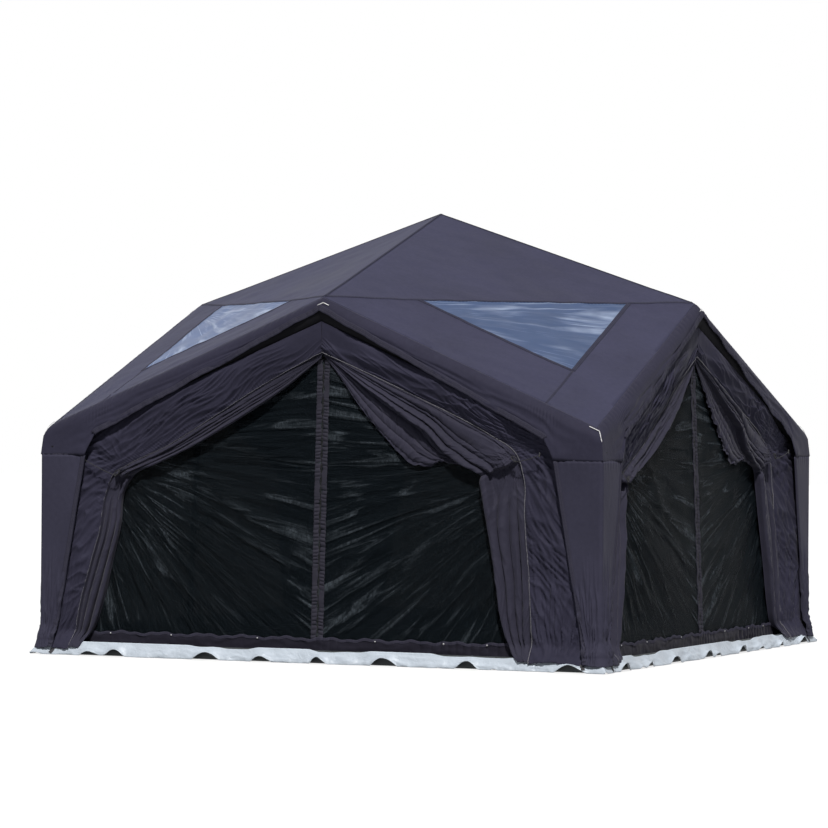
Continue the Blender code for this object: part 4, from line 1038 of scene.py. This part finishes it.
def makeZips():
    z = zipper
    tapes = bmesh.new()
    h = np.linspace(z["bottom"], z["top"], 900)[:, None]
    share = np.linspace(0, 1, 11)[None, :]
    base = screenFoot + screenWay * (h / screenWay[2])
    for sign in (-1, 1):
        beat = h * 2 * math.pi / 0.026 + sign
        even = foldShape(beat + 1.7 * np.sin(h * 19 + sign) + 0.8 * np.sin(h * 47) + 1.4 * share)
        pucker = even * ease(np.sin(h * 23 + 2 * sign) + np.sin(h * 9.7), -1.8, 0.0)
        pucker = pucker * np.sin(math.pi * share) ** 0.5
        inner = z["slit"] + z["gap"] * (0.55 + 0.45 * sway(h, 0.083, np.sin(h * 11)))
        aside = inner + (z["tape"] - inner) * share + 0.0014 * np.sin(beat) * share
        out = z["out"] + z["pucker"] * pucker + z["wave"] * sway(h, 0.13, sign) - 0.003 * (1 - share) ** 3
        grid = base[:, None] + across * (sign * aside)[:, :, None] + screenOut * out[:, :, None]
        pour(tapes, gridMesh("tape", grid, flip=sign < 0))
    coil = bmesh.new()
    size = np.array((z["coilWidth"], z["coilDepth"], z["pitch"] * 0.6))
    for k in range(int((z["top"] - 0.02 - z["bottom"]) / z["pitch"])):
        for sign in (-1, 1):
            rise = z["bottom"] + z["pitch"] * (k + (0.5 if sign > 0 else 0.0))
            aside = sign * (z["slit"] + z["coilWidth"] / 2)
            centre = screenFoot + screenWay * (rise / screenWay[2]) + across * aside
            for vert in bmesh.ops.create_cube(coil, size=1.0)["verts"]:
                x, y, w = vert.co * Vector(size)
                vert.co = centre + across * x + screenOut * y + screenWay * w * z["coilPinch"]
    tapes, coil = meshOf(tapes, "zipTapes"), meshOf(coil, "zipCoil", smooth=False)
    for quarter, side in enumerate(sideNames):
        dress("zipTapes_" + side, tapes, zipTape, quarter, ["door_zip_" + side], z["thickness"])
        dress("zipCoil_" + side, coil, zipTeeth, quarter)
        coat(zipMetal, "zip_slider_" + side, "pull_tab_" + side)


makeZips()
print("zips sewn in")


# Wall headers and side strips: the fixed cloth between the fairing or leg cover and the piping
header = {
    "rafterRows": 290,
    "legRows": 160,
    "columns": 60,
    "leaveAngle": 50.0,      # degrees round the arch where the cloth leaves it, and round the leg
    # Near the corners the cloth leaves the arch lower, so the near-black sleeve shows under the fairing's hem as
    # painted shade
    "cornerAngle": 82.0,
    "legAngle": 42.0,
    "belly": 0.028,
    "lowerEdge": 0.034,      # piping in front of the screen
    "wrinkle": 0.0125,
    "gather": 0.0024,
    "bulge": 0.005,
    "hem": 0.05,
    "clear": 0.006,          # from the net
    "pipingOut": 0.003,      # piping in front of the cloth
    "beamRadius": 0.0835,
    "thickness": 0.0018,
}
slackPiping = ((0.0, 2.0), (0.38, 1.845), (0.75, 1.685), (1.0, 1.575), (1.2, 1.475), (1.38, 1.355), (1.43, 1.22),
               (1.445, 0.95), (1.475, 0.65), (1.5, 0.35), (1.52, 0.05))
tightPiping = ((0.0, 2.0), (0.39, 1.805), (0.72, 1.61), (1.1, 1.39), (1.4, 1.255), (1.5, 1.2), (1.56, 1.06),
               (1.6, 0.81), (1.66, 0.6), (1.72, 0.38), (1.77, 0.05))
slackTie, slackTieAt = (1.38, 1.325), 5.3        # the tie, and where it is among the piping's points
tightTie, tightTieAt = (1.45, 1.2), 5.0


# Even rows from the peak to the tie, and from the tie to the hem; the tie lies between two points
def pacedCurve(points, tieIndex, first, second):
    spots = lengthsOf(np.array(points))
    tie = np.interp(tieIndex, np.arange(len(points)), spots) / spots[-1]
    shares = np.concatenate((np.linspace(0, tie, first + 1), np.linspace(tie, 1, second + 1)[1:]))
    return curveThrough(points, shares)


# Where the cloth leaves the arch and the leg, at so many degrees round them
def beamLine(degrees):
    h = header
    radius, angle = h["beamRadius"], math.radians(degrees)
    aside = radius * math.sin(angle)
    rafter = archPeak + unit((rafterWay[2], 0.0, -rafterWay[0])) * aside
    start = rafter + rafterWay * ((0.001 - rafter[0]) / rafterWay[0])
    edge = tent["legAxis"] - aside
    turn = rafter + rafterWay * ((edge - rafter[0]) / rafterWay[0])
    turn[1] = -tent["legAxis"]
    foot = np.array((edge, -tent["legAxis"], h["hem"]))
    first = start + (turn - start) * np.linspace(0, 1, h["rafterRows"] + 1)[:, None]
    second = turn + (foot - turn) * np.linspace(0, 1, h["legRows"] + 1)[1:, None]
    line = np.concatenate((first, second))
    line[:, 1] -= radius * math.cos(angle)
    return line


# Cloth stays between the screen behind it and the walls in front
def keepClear(grid, room):
    z = grid[:, :, 2]
    lowest = screenDepth(z) - room
    highest = -half + np.maximum(z - tent["seam"], 0.0) * tent["gableLean"] + tent["skin"] + 0.004
    free = np.abs(grid[:, :, 0]) < half - cover["topWidth"] - 0.02
    underHem = z < fairingHemHeight(np.abs(grid[:, :, 0])) - 0.05
    highest = np.where(free & underHem, highest - 0.02, highest)
    grid[:, :, 1] = np.clip(grid[:, :, 1], highest, lowest)
    return grid


# At the foot the cloth is drawn out over the top of the skirt, in crumpled folds
def spill(grid, seed):
    z = grid[:, :, 2]
    share = ease(0.17 - z, 0.0, 0.1)
    x = grid[:, :, 0]
    crumple = ridges(x * 13, z * 8, seed + 7) + 0.6 * ridges(x * 9 + z * 14, z * 9 - x * 14, seed + 8)
    target = -(half + 0.012 + 0.45 * np.maximum(0.095 - z, 0.0) + 0.004 * np.maximum(crumple, -0.6))
    grid[:, :, 1] = grid[:, :, 1] * (1 - share) + np.minimum(grid[:, :, 1], target) * share
    grid[:, :, 2] -= 0.008 * np.sin(x * 17 + seed) * ease(0.1 - z, 0.0, 0.05)
    return grid


def fairingHemHeight(x):
    peakHem, slotCorner, inner = fairingHem()[:3]
    return np.interp(x, (0.0, slotCorner[0], inner[0]), (peakHem[2], slotCorner[2], inner[2]))


def makeHeader(name, points, tieIndex, tie, sign, seed):
    h = header
    lower = pacedCurve(points, tieIndex, h["rafterRows"], h["legRows"])
    inner = np.stack((lower[:, 0], screenDepth(lower[:, 1]) - h["lowerEdge"], lower[:, 1]), axis=1)
    row = np.arange(len(lower))[:, None]
    onLeg = ease(row, h["rafterRows"] - 14, h["rafterRows"] + 6)
    low = ease(row / h["rafterRows"], 0.6, 0.88)
    outer = beamLine(h["leaveAngle"]) * (1 - low) + beamLine(h["cornerAngle"]) * low
    outer = outer * (1 - onLeg) + beamLine(h["legAngle"]) * onLeg
    over = np.linspace(0, 1, h["columns"] + 1)[None, :]
    grid = outer[:, None] + (inner - outer)[:, None] * over[:, :, None]
    onRafter = 1 - ease(row, h["rafterRows"] - 26, h["rafterRows"] + 2)
    x, z = grid[:, :, 0], grid[:, :, 2]
    along = lengthsOf(inner)[:, None]
    down = over * np.linalg.norm(inner - outer, axis=1)[:, None]
    broad = Ripples(seed, 16, 0.4, 1.5).at(grid, 1.5)
    bent = 0.5 * broad
    flat = ridges((along + 0.5 * down) * 2.6 + 0.4 * broad, (along * 0.14 - 1.05 * down) * 11.0 + bent, seed + 1)
    slanted = ridges((along + 0.3 * down) * 2.2, (along * 0.34 - 1.3 * down) * 15.0 + bent, seed + 2)
    creases = (0.8 * flat + 0.7 * slanted) * (0.6 + 0.4 * ease(broad, -0.8, 0.8))
    slackened = 1 - (1 - ease(x, 0.16, 0.5)) * (1 - ease(over, 0.45, 0.8))     # smooth near the peak
    toTie = np.hypot(x - tie[0], z - tie[1])
    rays = fanRidges(x, z, (tie[0] - 0.02, tie[1] + 0.03), seed + 3, 3.4) * ease(toTie, 0.04, 0.2)
    nearTie = np.exp(-(toTie / 0.42) ** 2)
    leg = fanRidges(x, z, (tie[0] - 0.1, tie[1] + 0.16), seed + 5, 7.0)
    slope = ridges((x - 0.8 * z) * 3.0, (x + 1.3 * z) * 8.5 + 0.5 * broad, seed + 6) * ease(over, 0.0, 0.4)
    foot = fanRidges(x, z, (points[-1][0] + 0.12, -0.12), seed + 9, 8.0) * (1 - ease(z, 0.25, 0.9))
    leg = 0.6 * leg + 0.9 * slope * ease(z, 0.15, 0.5) + 1.2 * foot
    gather = sway(along, 0.019, 1.5 * np.sin(along * 31)) * np.exp(-((1 - over) / 0.16) ** 2)
    height = onRafter * creases * slackened * (1 - 0.6 * nearTie) + 0.6 * nearTie * rays + (1 - onRafter) * leg
    height = h["wrinkle"] * height + h["gather"] * gather * (0.4 + 0.6 * slackened) + h["bulge"] * broad * slackened
    hold = ease(over, 0.0, 0.2) * (1 - 0.55 * ease(over, 0.93, 1.0))
    belly = h["belly"] * onRafter * ease(x, 0.05, 0.4) * np.sin(math.pi * over ** 0.66) ** 1.2
    grid[:, :, 1] -= (height + 0.003) * hold + belly
    grid[:, :, 2] += 0.3 * height * hold
    grid = spill(keepClear(grid, h["clear"]), seed)
    grid[:, :, 0] += 0.05 * (1 - over) * ease(0.28 - z, 0.0, 0.16)          # meets the leg cover at the foot
    grid = grid * np.array((sign, 1.0, 1.0))
    pipeLine = grid[:, -1] - np.array((0, h["pipingOut"], 0))
    return gridMesh(name, grid, flip=sign > 0), pipeLine


slackHeader = makeHeader("headerSlack", slackPiping, slackTieAt, slackTie, 1, 52)
tightHeader = makeHeader("headerTight", tightPiping, tightTieAt, tightTie, -1, 72)


# Door curtains: swagged from the peak to the tie, then hanging in folds to the hem
curtain = {
    "upperRows": 290,
    "lowerRows": 190,
    "columns": 170,
    "fold": 0.04,            # height of the rolls above the tie, and below it
    "rollFold": 0.056,
    "clear": 0.012,          # from the screen, and at the least
    "least": 0.0105,
    "belly": 0.026,          # of the bundle above the tie
    "crease": 0.0024,
    "thickness": 0.0016,
    "areaShare": 0.4,        # of the cloth's length times its width
}
slackFree = ((0.01, 1.975), (0.14, 1.82), (0.28, 1.64), (0.42, 1.49), (0.54, 1.37), (0.64, 1.29), (0.74, 1.272),
             (0.86, 1.3), (0.99, 1.28), (1.12, 1.23), (1.145, 1.13), (1.17, 1.0), (1.21, 0.81), (1.265, 0.55),
             (1.31, 0.3), (1.345, 0.19), (1.4, 0.1), (1.45, 0.05))
# For each roll of cloth its centre, half width and height, at the top and at the bottom
slackHang = {
    "tie": 9.2,
    "flap": 0.38,
    "seed": 61,
    "swag": (((0.89, 0.11, 1.0), (0.91, 0.09, 1.1)), ((0.65, 0.12, 0.9), (0.73, 0.085, 0.8)),
             ((0.41, 0.09, 0.6), (0.54, 0.06, 0.2)), ((0.25, 0.06, 0.7), (0.3, 0.2, 0.55)),
             ((0.11, 0.05, 0.3), (0.06, 0.06, 0.3))),
    "pleats": (((0.12, 0.13, 0.5), (0.14, 0.12, 0.5)), ((0.34, 0.12, 0.8), (0.38, 0.12, 0.8)),
               ((0.56, 0.13, 0.9), (0.6, 0.11, 0.6)), ((0.78, 0.12, 0.7), (0.82, 0.12, 1.0))),
    "rolls": (((0.84, 0.15, 1.2), (0.87, 0.12, 0.95)), ((0.58, 0.11, 0.7), (0.64, 0.1, 0.85)),
              ((0.37, 0.09, 0.25), (0.44, 0.08, 0.5)), ((0.17, 0.09, 0.4), (0.2, 0.13, 0.75))),
}
tightFree = ((0.01, 1.965), (0.27, 1.765), (0.5, 1.62), (0.72, 1.495), (0.98, 1.36), (1.17, 1.275), (1.36, 1.185),
             (1.42, 1.09), (1.445, 0.87), (1.5, 0.62), (1.56, 0.36), (1.62, 0.18), (1.7, 0.05))
tightHang = {
    "tie": 6.1,
    "flap": 1.0,
    "seed": 62,
    "swag": (((0.88, 0.1, 1.0), (0.84, 0.14, 0.95)), ((0.7, 0.07, 0.4), (0.57, 0.13, 0.8)),
             ((0.5, 0.12, 0.9), (0.37, 0.06, 0.25)), ((0.22, 0.13, 0.45), (0.18, 0.11, 0.75))),
    "pleats": (((0.5, 0.5, 0.0), (0.5, 0.5, 0.0)),),
    "rolls": (((0.84, 0.15, 1.0), (0.85, 0.14, 0.9)), ((0.55, 0.11, 0.35), (0.52, 0.16, 0.8)),
              ((0.26, 0.1, 0.5), (0.2, 0.1, 0.25))),
}


def makeCurtain(name, pipingPoints, pipingTie, freePoints, hang, tie, sign):
    c = curtain
    outer = pacedCurve(pipingPoints, pipingTie, c["upperRows"], c["lowerRows"])
    inner = pacedCurve(freePoints, hang["tie"], c["upperRows"], c["lowerRows"])
    over = np.linspace(0, 1, c["columns"])[None, :]
    x, z = np.moveaxis(outer[:, None] + (inner - outer)[:, None] * over[:, :, None], 2, 0)
    row = np.linspace(0, 1, len(outer))[:, None]
    tieRow = c["upperRows"] / (len(outer) - 1)
    toPeak = row / tieRow                                    # 0 at the peak, 1 at the tie
    upper = 1 - ease(row, tieRow - 0.003, tieRow + 0.003)
    grown = 0.3 + 0.7 * (1 - np.exp(-(toPeak / 0.22) ** 1.4))
    rowGrid, overGrid = np.broadcast_arrays(row * 5, over * 1.5)
    wander = Ripples(hang["seed"], 16, 0.3, 1.1).at(np.stack((rowGrid, overGrid, 0 * overGrid), axis=2))
    line = hang["flap"] + (1 - hang["flap"]) * ease(toPeak, 0.55, 0.97)
    inside = np.clip(over / line, 0, 1) + 0.028 * wander * (1 - ease(over / line, 0.8, 0.95))
    swag = bundle(inside, np.clip(toPeak, 0, 1), hang["swag"]) * (1 + 0.22 * wander)
    swag = swag * (1 - 0.75 * ease(toPeak, 0.965, 1.0) * ease(inside, 0.68, 0.75))
    belly = np.exp(-((toPeak - 0.97) / 0.1) ** 2) * np.sin(math.pi * np.clip(inside / 0.8, 0, 1)) ** 0.6
    below = np.clip((over - line) / np.maximum(1 - line, 0.001), 0, 1)
    onFlap = ease(over - line, 0.0, 0.012)
    flap = bundle(below + 0.02 * wander, np.clip(toPeak, 0, 1), hang["pleats"])
    top = (0.018 + c["fold"] * swag + c["belly"] * belly) * (1 - onFlap) + (0.5 * c["fold"] * flap - 0.003) * onFlap
    drop = np.clip((row - tieRow) / (1 - tieRow), 0, 1)
    headed = np.sqrt(1 - (1 - np.clip(drop / 0.045, 0, 1)) ** 2)
    later = ease(drop, 0.07, 0.3)
    grow = later + (headed - later) * ease(over, 0.76, 0.8)
    bentOver = over + 0.045 * wander * (1 - ease(over, 0.7, 0.85))
    roll = bundle(bentOver, drop, hang["rolls"]) * grow * (1 + 0.1 * wander)
    roll = roll * (1 - 0.35 * ease(drop, 0.85, 1.0))
    bent = over * 4.5 + 0.9 * wander
    fine = 1.7 * ridges(row * 7, bent, hang["seed"] + 1)
    fine = fine + 0.7 * ridges(row * 17, bent * 2.4 + row * 6, hang["seed"] + 2)
    toTie = np.hypot(x - tie[0], z - tie[1])
    drag = fanRidges(x, z, (tie[0] - 0.02, tie[1] + 0.02), hang["seed"] + 3, 4.0) * np.exp(-(toTie / 0.3) ** 2)
    depth = upper * top * grown + (1 - upper) * (c["rollFold"] * roll) + c["crease"] * (fine * grown + 3.2 * drag)
    y = screenDepth(z) - c["clear"] - depth
    tuck = ease(over, 0.955, 1.0)
    y = y * (1 - tuck) + (screenDepth(z) - 0.012) * tuck                     # free edge turned back
    seam = 1 - ease(over, 0.0, 0.05)
    y = y * (1 - seam) + (screenDepth(z) - header["lowerEdge"]) * seam      # sewn along the piping
    grid = np.stack((x, y + 0.012 * np.exp(-(toTie / 0.04) ** 2), z), axis=2)
    middle = ease(over, 0.05, 0.2) * (1 - ease(over, 0.95, 1.0))
    grid[:, :, 2] -= upper * 0.45 * c["fold"] * swag * grown * middle * (1 - onFlap)      # rolls sag
    grid[:, :, 0] -= (1 - upper) * 0.3 * c["rollFold"] * roll * middle
    if hang["flap"] < 1:                                       # the zipped edge is gathered
        crimp = 0.003 * sway(row, 1 / 47, 2 * np.sin(row * 40)) + 0.005 * sway(row, 1 / 17, 1)
        edge = ease(over, 0.8, 1.0) * upper * ease(toPeak, 0.05, 0.3) * (1 - ease(toPeak, 0.8, 0.95))
        grid[:, :, 2] += crimp * edge
        grid[:, :, 1] -= (0.006 + 1.2 * crimp) * edge
    grid = spill(keepClear(grid, c["least"]), hang["seed"])
    return gridMesh(name, grid * np.array((sign, 1.0, 1.0)), flip=sign > 0)


slackCurtain = makeCurtain("curtainSlack", slackPiping, slackTieAt, slackFree, slackHang, slackTie, 1)
tightCurtain = makeCurtain("curtainTight", tightPiping, tightTieAt, tightFree, tightHang, tightTie, -1)


def makeDoorCloth():
    sets = (
        ("Right", "_right", slackHeader, slackCurtain, (1.35, 2.6), 0.0026),
        ("Left", "_left", tightHeader, tightCurtain, (0.8, 2.6), 0.0016),
    )
    for label, ending, (headerMesh, pipeLine), clothMesh, clothFlat, pipeRadius in sets:
        pipeMesh = tubeMesh("pipingCord", pipeLine, pipeRadius, 8)
        for quarter, side in enumerate(sideNames):
            nodes = ["curtain_" + side + ending]
            wall = dress("wallHeader_" + side + label, headerMesh, wallCloth, quarter, nodes,
                         header["thickness"])
            cloth = dress("doorCurtain_" + side + label, clothMesh, curtainCloth, quarter, nodes,
                          curtain["thickness"])
            dress("pipingCord_" + side + label, pipeMesh, piping, quarter)


makeDoorCloth()
print("curtains tied back")


# Groundsheet: dark floor inside, silver skirt ruffled outside
skirt = {
    "steps": 420,
    "rows": 12,
    "flare": 0.05,
    "top": 0.09,
    "wave": 0.016,
    "lift": 0.05,
    "crease": 0.008,
    "straps": (-1.86, 1.86),     # webbing for the pegs
    "strapWidth": 0.025,
    "strapThickness": 0.0016,
    "strapLift": 0.004,
    "thickness": 0.0022,
    "innerThickness": 0.0015,    # floor and upstand
    "floorTicks": 90,
    "upstand": (0.002, 0.084),   # from and up to
    "upstandSteps": 60,
}


def makeGroundsheet():
    s = skirt
    share = (np.arange(s["rows"] + 1) / s["rows"])[None, :]
    steps = np.arange(s["steps"])[:, None] / s["steps"]
    ripples = Ripples(71, 20, 0.5, 2.2)
    quarters = []
    for quarter in range(4):
        reach = half + 0.003 + (s["flare"] - 0.003) * share ** 1.2
        along = (2 * steps - 1) * reach
        seed = quarter * 3.7
        swing = np.sin(along * 12 + 1.8 * np.sin(along * 2.3 + seed) + seed)
        swing = swing + 0.6 * np.sin(along * 25 + seed * 2 + 1.6 * np.sin(along * 5))
        pleat = foldShape(along * 26 + 3 * np.sin(along * 3.1 + seed), 0.4)
        pleat = pleat * ease(np.sin(along * 4.1 + seed), -0.5, 0.5)
        facet = ridges(along * 5, share * 1.2 + seed, 74) + 0.5 * ridges(along * 14, share * 2 + seed, 75)
        corner = 1 - np.clip(np.minimum(steps, 1 - steps) * 16, 0, 1)
        out = (s["wave"] * (0.55 * swing - 0.2) + s["crease"] * (pleat + 0.9 * facet)) * share ** 1.2 * (1 - corner)
        uneven = np.sin(along * 5.3 + 2 * np.sin(along * 1.9 + seed)) + 0.4 * np.sin(along * 21)
        rise = (s["top"] - 0.016 * ease(uneven, -0.4, 1.0)) * (1 - share ** 1.1)
        rise = rise + s["lift"] * np.maximum(swing - 0.25, 0) / 1.2 * share ** 2 * (1 - 0.6 * corner)
        rise = rise + s["crease"] * (0.6 * pleat + facet) * share * (1 - share)
        spot = np.stack((along, -(reach + out), np.maximum(rise, 0.0012)), axis=2)
        for _ in range(quarter):
            spot = np.stack((-spot[:, :, 1], spot[:, :, 0], spot[:, :, 2]), axis=2)
        quarters.append(spot)
    made = dress("groundSkirt", gridMesh("groundSkirt", np.concatenate(quarters), wrap=True), silverSheet, 0,
                 ["groundsheet"], s["thickness"])
    for spot, side in zip(quarters, sideNames):
        normals = gridNormals(spot)
        normals *= np.sign(normals[:, :, 2:3] + 1e-9)
        straps = bmesh.new()
        for x in s["straps"]:
            i = int(round((x / half + 1) / 2 * s["steps"]))
            line = curveThrough(spot[i, 1:-1], np.linspace(0, 1, 24))
            facing = unit(normals[i].mean(axis=0))
            pour(straps, ribbonMesh("strap", line, facing, s["strapWidth"], s["strapLift"], s["strapThickness"]))
        dress("pegStraps_" + side, meshOf(straps, "pegStraps", smooth=False), webbing)
    inner = half - 0.004
    ticks = np.linspace(-inner, inner, s["floorTicks"])
    fx, fy = np.meshgrid(ticks, ticks, indexing="ij")
    flat = np.stack((fx, fy, 0 * fx), axis=2)
    edge = half - np.maximum(np.abs(fx), np.abs(fy))
    flat[:, :, 2] = (0.0025 + 0.0012 * ripples.at(flat, 0.9)) * ease(edge, 0.02, 0.2) + 0.002
    floor = dress("groundFloor", gridMesh("groundFloor", flat, flip=True), floorSheet, 0,
                  ["groundsheet"], s["innerThickness"], 1.0)
    rings = []
    wall = half - s["innerThickness"]
    steps = s["upstandSteps"]
    for z in np.linspace(*s["upstand"], 6):
        sideLine = [((2 * step / steps - 1) * wall, -wall, z) for step in range(steps)]
        rings.append([turned(spot, quarter) for quarter in range(4) for spot in sideLine])
    upMesh = gridMesh("groundUpstand", np.array(rings).transpose(1, 0, 2), wrap=True)
    band = dress("groundUpstand", upMesh, floorSheet, 0, thickness=s["innerThickness"])


makeGroundsheet()
print("groundsheet spread")


# Small fittings: reflective marks at eave corners and peaks, tie cords with toggles, valve
fitting = {
    "mark": 0.075,
    "markWidth": 0.006,
    "cord": 0.005,
    "wrapDepth": 0.084,          # of the cord round the bundle, in front of the screen
    "toggle": (0.009, 0.03),     # width and length
    "windings": 2.2,             # of the cord round the bundle
    "wind": (0.017, 0.019),      # half width and half height of a winding
    "sag": 0.008,
    "dot": 0.005,
    "dotHeight": 0.148,
    "dotOut": 0.021,             # in front of the screen
    "dots": (-1.5, -1.05, -0.42, 0.42, 0.9, 1.2),
}


def makeFittings():
    f = fitting
    skinOut = unit(hipPlane[0] + gablePlane[0])
    corner = archCorner + unit((1, -1, 0.9)) * (skinRadius * 1.16)
    peak = archPeak + skinOut * (skinRadius + 0.006)
    marks = (
        ("cornerMark_", corner, -rafterWay, skinOut),
        ("cornerDrop_", corner, np.array((0.36, -0.36, -0.9)), unit((1.0, -1.0, 0.3))),
        ("peakMark_", peak, rafterWay * 0.6, skinOut),
        ("peakMarkLeft_", peak, rafterWay * (-0.6, 0.6, 0.6), skinOut),
    )
    for name, start, way, facing in marks:
        line = start + np.linspace(0, f["mark"], 8)[:, None] * way
        mesh = ribbonMesh(name + "strip", line, facing, f["markWidth"], 0.002)
        for quarter, side in enumerate(sideNames):
            dress(name + side, mesh, reflector, quarter)
    ties = (("Slack", slackTie, (0.19, 0.03), 1), ("Tight", tightTie, (0.25, 0.1), -1))
    for label, tie, toAnchor, sign in ties:
        start = np.array((tie[0], screenDepth(tie[1]) - f["wrapDepth"], tie[1]))
        end = np.array((tie[0] + toAnchor[0], -half + 0.012, tie[1] + toAnchor[1]))
        turns = np.linspace(0, f["windings"] * 2 * math.pi, 60)
        wide, high = f["wind"]
        wrap = (wide * np.cos(turns), -0.005 * np.sin(turns * 0.5), high * np.sin(turns * 0.75))
        knot = start + np.stack(wrap, axis=1)
        reach = np.linspace(0, 1, 24)[1:, None]
        sag = np.array((0.0, 0.0, -f["sag"])) * (4 * reach * (1 - reach))
        line = np.concatenate((knot, knot[-1] + (end - knot[-1]) * reach + sag))
        rod = end + np.linspace(-0.5, 0.5, 7)[:, None] * np.array((0.006, 0.0, f["toggle"][1]))
        rodSize = f["toggle"][0] / 2 * np.array((0.6, 0.95, 1.0, 0.8, 1.0, 0.95, 0.6))
        flip = np.array((sign, 1.0, 1.0))
        cordMesh = tubeMesh("tieCord", line * flip, f["cord"] / 2, 8)
        rodMesh = tubeMesh("toggle", rod * flip, rodSize, 12)
        for quarter, side in enumerate(sideNames):
            dress("tieCord_" + side + label, cordMesh, cordBraid, quarter)
            dress("toggle_" + side + label, rodMesh, darkPlastic, quarter)
    dots = bmesh.new()
    for x in f["dots"]:
        spot = (x, screenDepth(f["dotHeight"]) - f["dotOut"], f["dotHeight"])
        place = Matrix.Translation(spot) @ Matrix.Diagonal((1.0, 0.45, 1.0, 1.0))
        bmesh.ops.create_uvsphere(dots, u_segments=12, v_segments=8, radius=f["dot"], matrix=place)
    dotMesh = meshOf(dots, "snapDots")
    for quarter, side in enumerate(sideNames):
        dress("snapDots_" + side, dotMesh, reflector, quarter)
    coat(darkPlastic, "inflation_valve", "valve_cap")


makeFittings()
print("fittings tied on")


# Light, floor and background
light = {
    "sky": 0.1,
    "skyColour": (0.72, 0.83, 1.0),
    "floor": (0.28, 0.28, 0.28),
    "floorRough": 0.9,
    "floorGlow": 0.75,
    "floorReach": 60.0,
    "floorDrop": 0.002,
    "lamps": (      # name, strength, where from, softness in degrees, colour; the fill is for the far sides
        ("sun", 3.1, (0.3, -0.56, 0.77), 4.0, (1.0, 0.97, 0.93)),
        ("fill", 0.75, (-0.45, 0.7, 0.5), 30.0, (0.85, 0.92, 1.0)),
    ),
}
white = (1.0, 1.0, 1.0)


# Mixes in what the camera, mirrored rays and rays through film see
def mixSeen(r, hidden, seen):
    path = r.add("ShaderNodeLightPath").outputs
    mirrored = r.maths("MAXIMUM", path["Is Glossy Ray"], path["Is Transmission Ray"])
    share = r.maths("MAXIMUM", path["Is Camera Ray"], mirrored)
    return r.add("ShaderNodeMixShader", share, hidden, seen).outputs[0]


def makeStage():
    scene = bpy.context.scene
    scene.view_settings.view_transform = "Standard"
    scene.world = bpy.data.worlds.new("studio")
    r = Recipe(scene.world, "Background")
    r.feed(r.shader.inputs["Color"], light["skyColour"])
    r.shader.inputs["Strength"].default_value = light["sky"]
    pale = r.add("ShaderNodeBackground", white, Strength=1.0).outputs[0]
    r.feed(r.nodes["World Output"].inputs["Surface"], mixSeen(r, r.shader.outputs[0], pale))
    for name, strength, source, soft, colour in light["lamps"]:
        lamp = bpy.data.lights.new(name, "SUN")
        lamp.energy = strength
        lamp.angle = math.radians(soft)
        lamp.color = colour
        made = bpy.data.objects.new(name, lamp)
        scene.collection.objects.link(made)
        made.rotation_mode = "QUATERNION"
        made.rotation_quaternion = Vector(source).to_track_quat("Z", "Y")
        made.visible_glossy = name == "sun"
    reach, drop = light["floorReach"], -light["floorDrop"]
    mesh = bpy.data.meshes.new("studioFloor")
    corners = [(x * reach, y * reach, drop) for x, y in ((-1, -1), (1, -1), (1, 1), (-1, 1))]
    mesh.from_pydata(corners, [], [(0, 1, 2, 3)])
    r = Recipe(bpy.data.materials.new("studioFloor"))
    r.put(colour=light["floor"], rough=light["floorRough"])
    dark = r.add("ShaderNodeEmission", white, Strength=0.0).outputs[0]
    glow = r.add("ShaderNodeEmission", white, Strength=light["floorGlow"]).outputs[0]
    both = r.add("ShaderNodeAddShader", r.shader.outputs[0], mixSeen(r, dark, glow)).outputs[0]
    r.feed(r.nodes["Material Output"].inputs["Surface"], both)
    mesh.materials.append(r.owner)
    floor = bpy.data.objects.new("studioFloor", mesh)
    scene.collection.objects.link(floor)


makeStage()
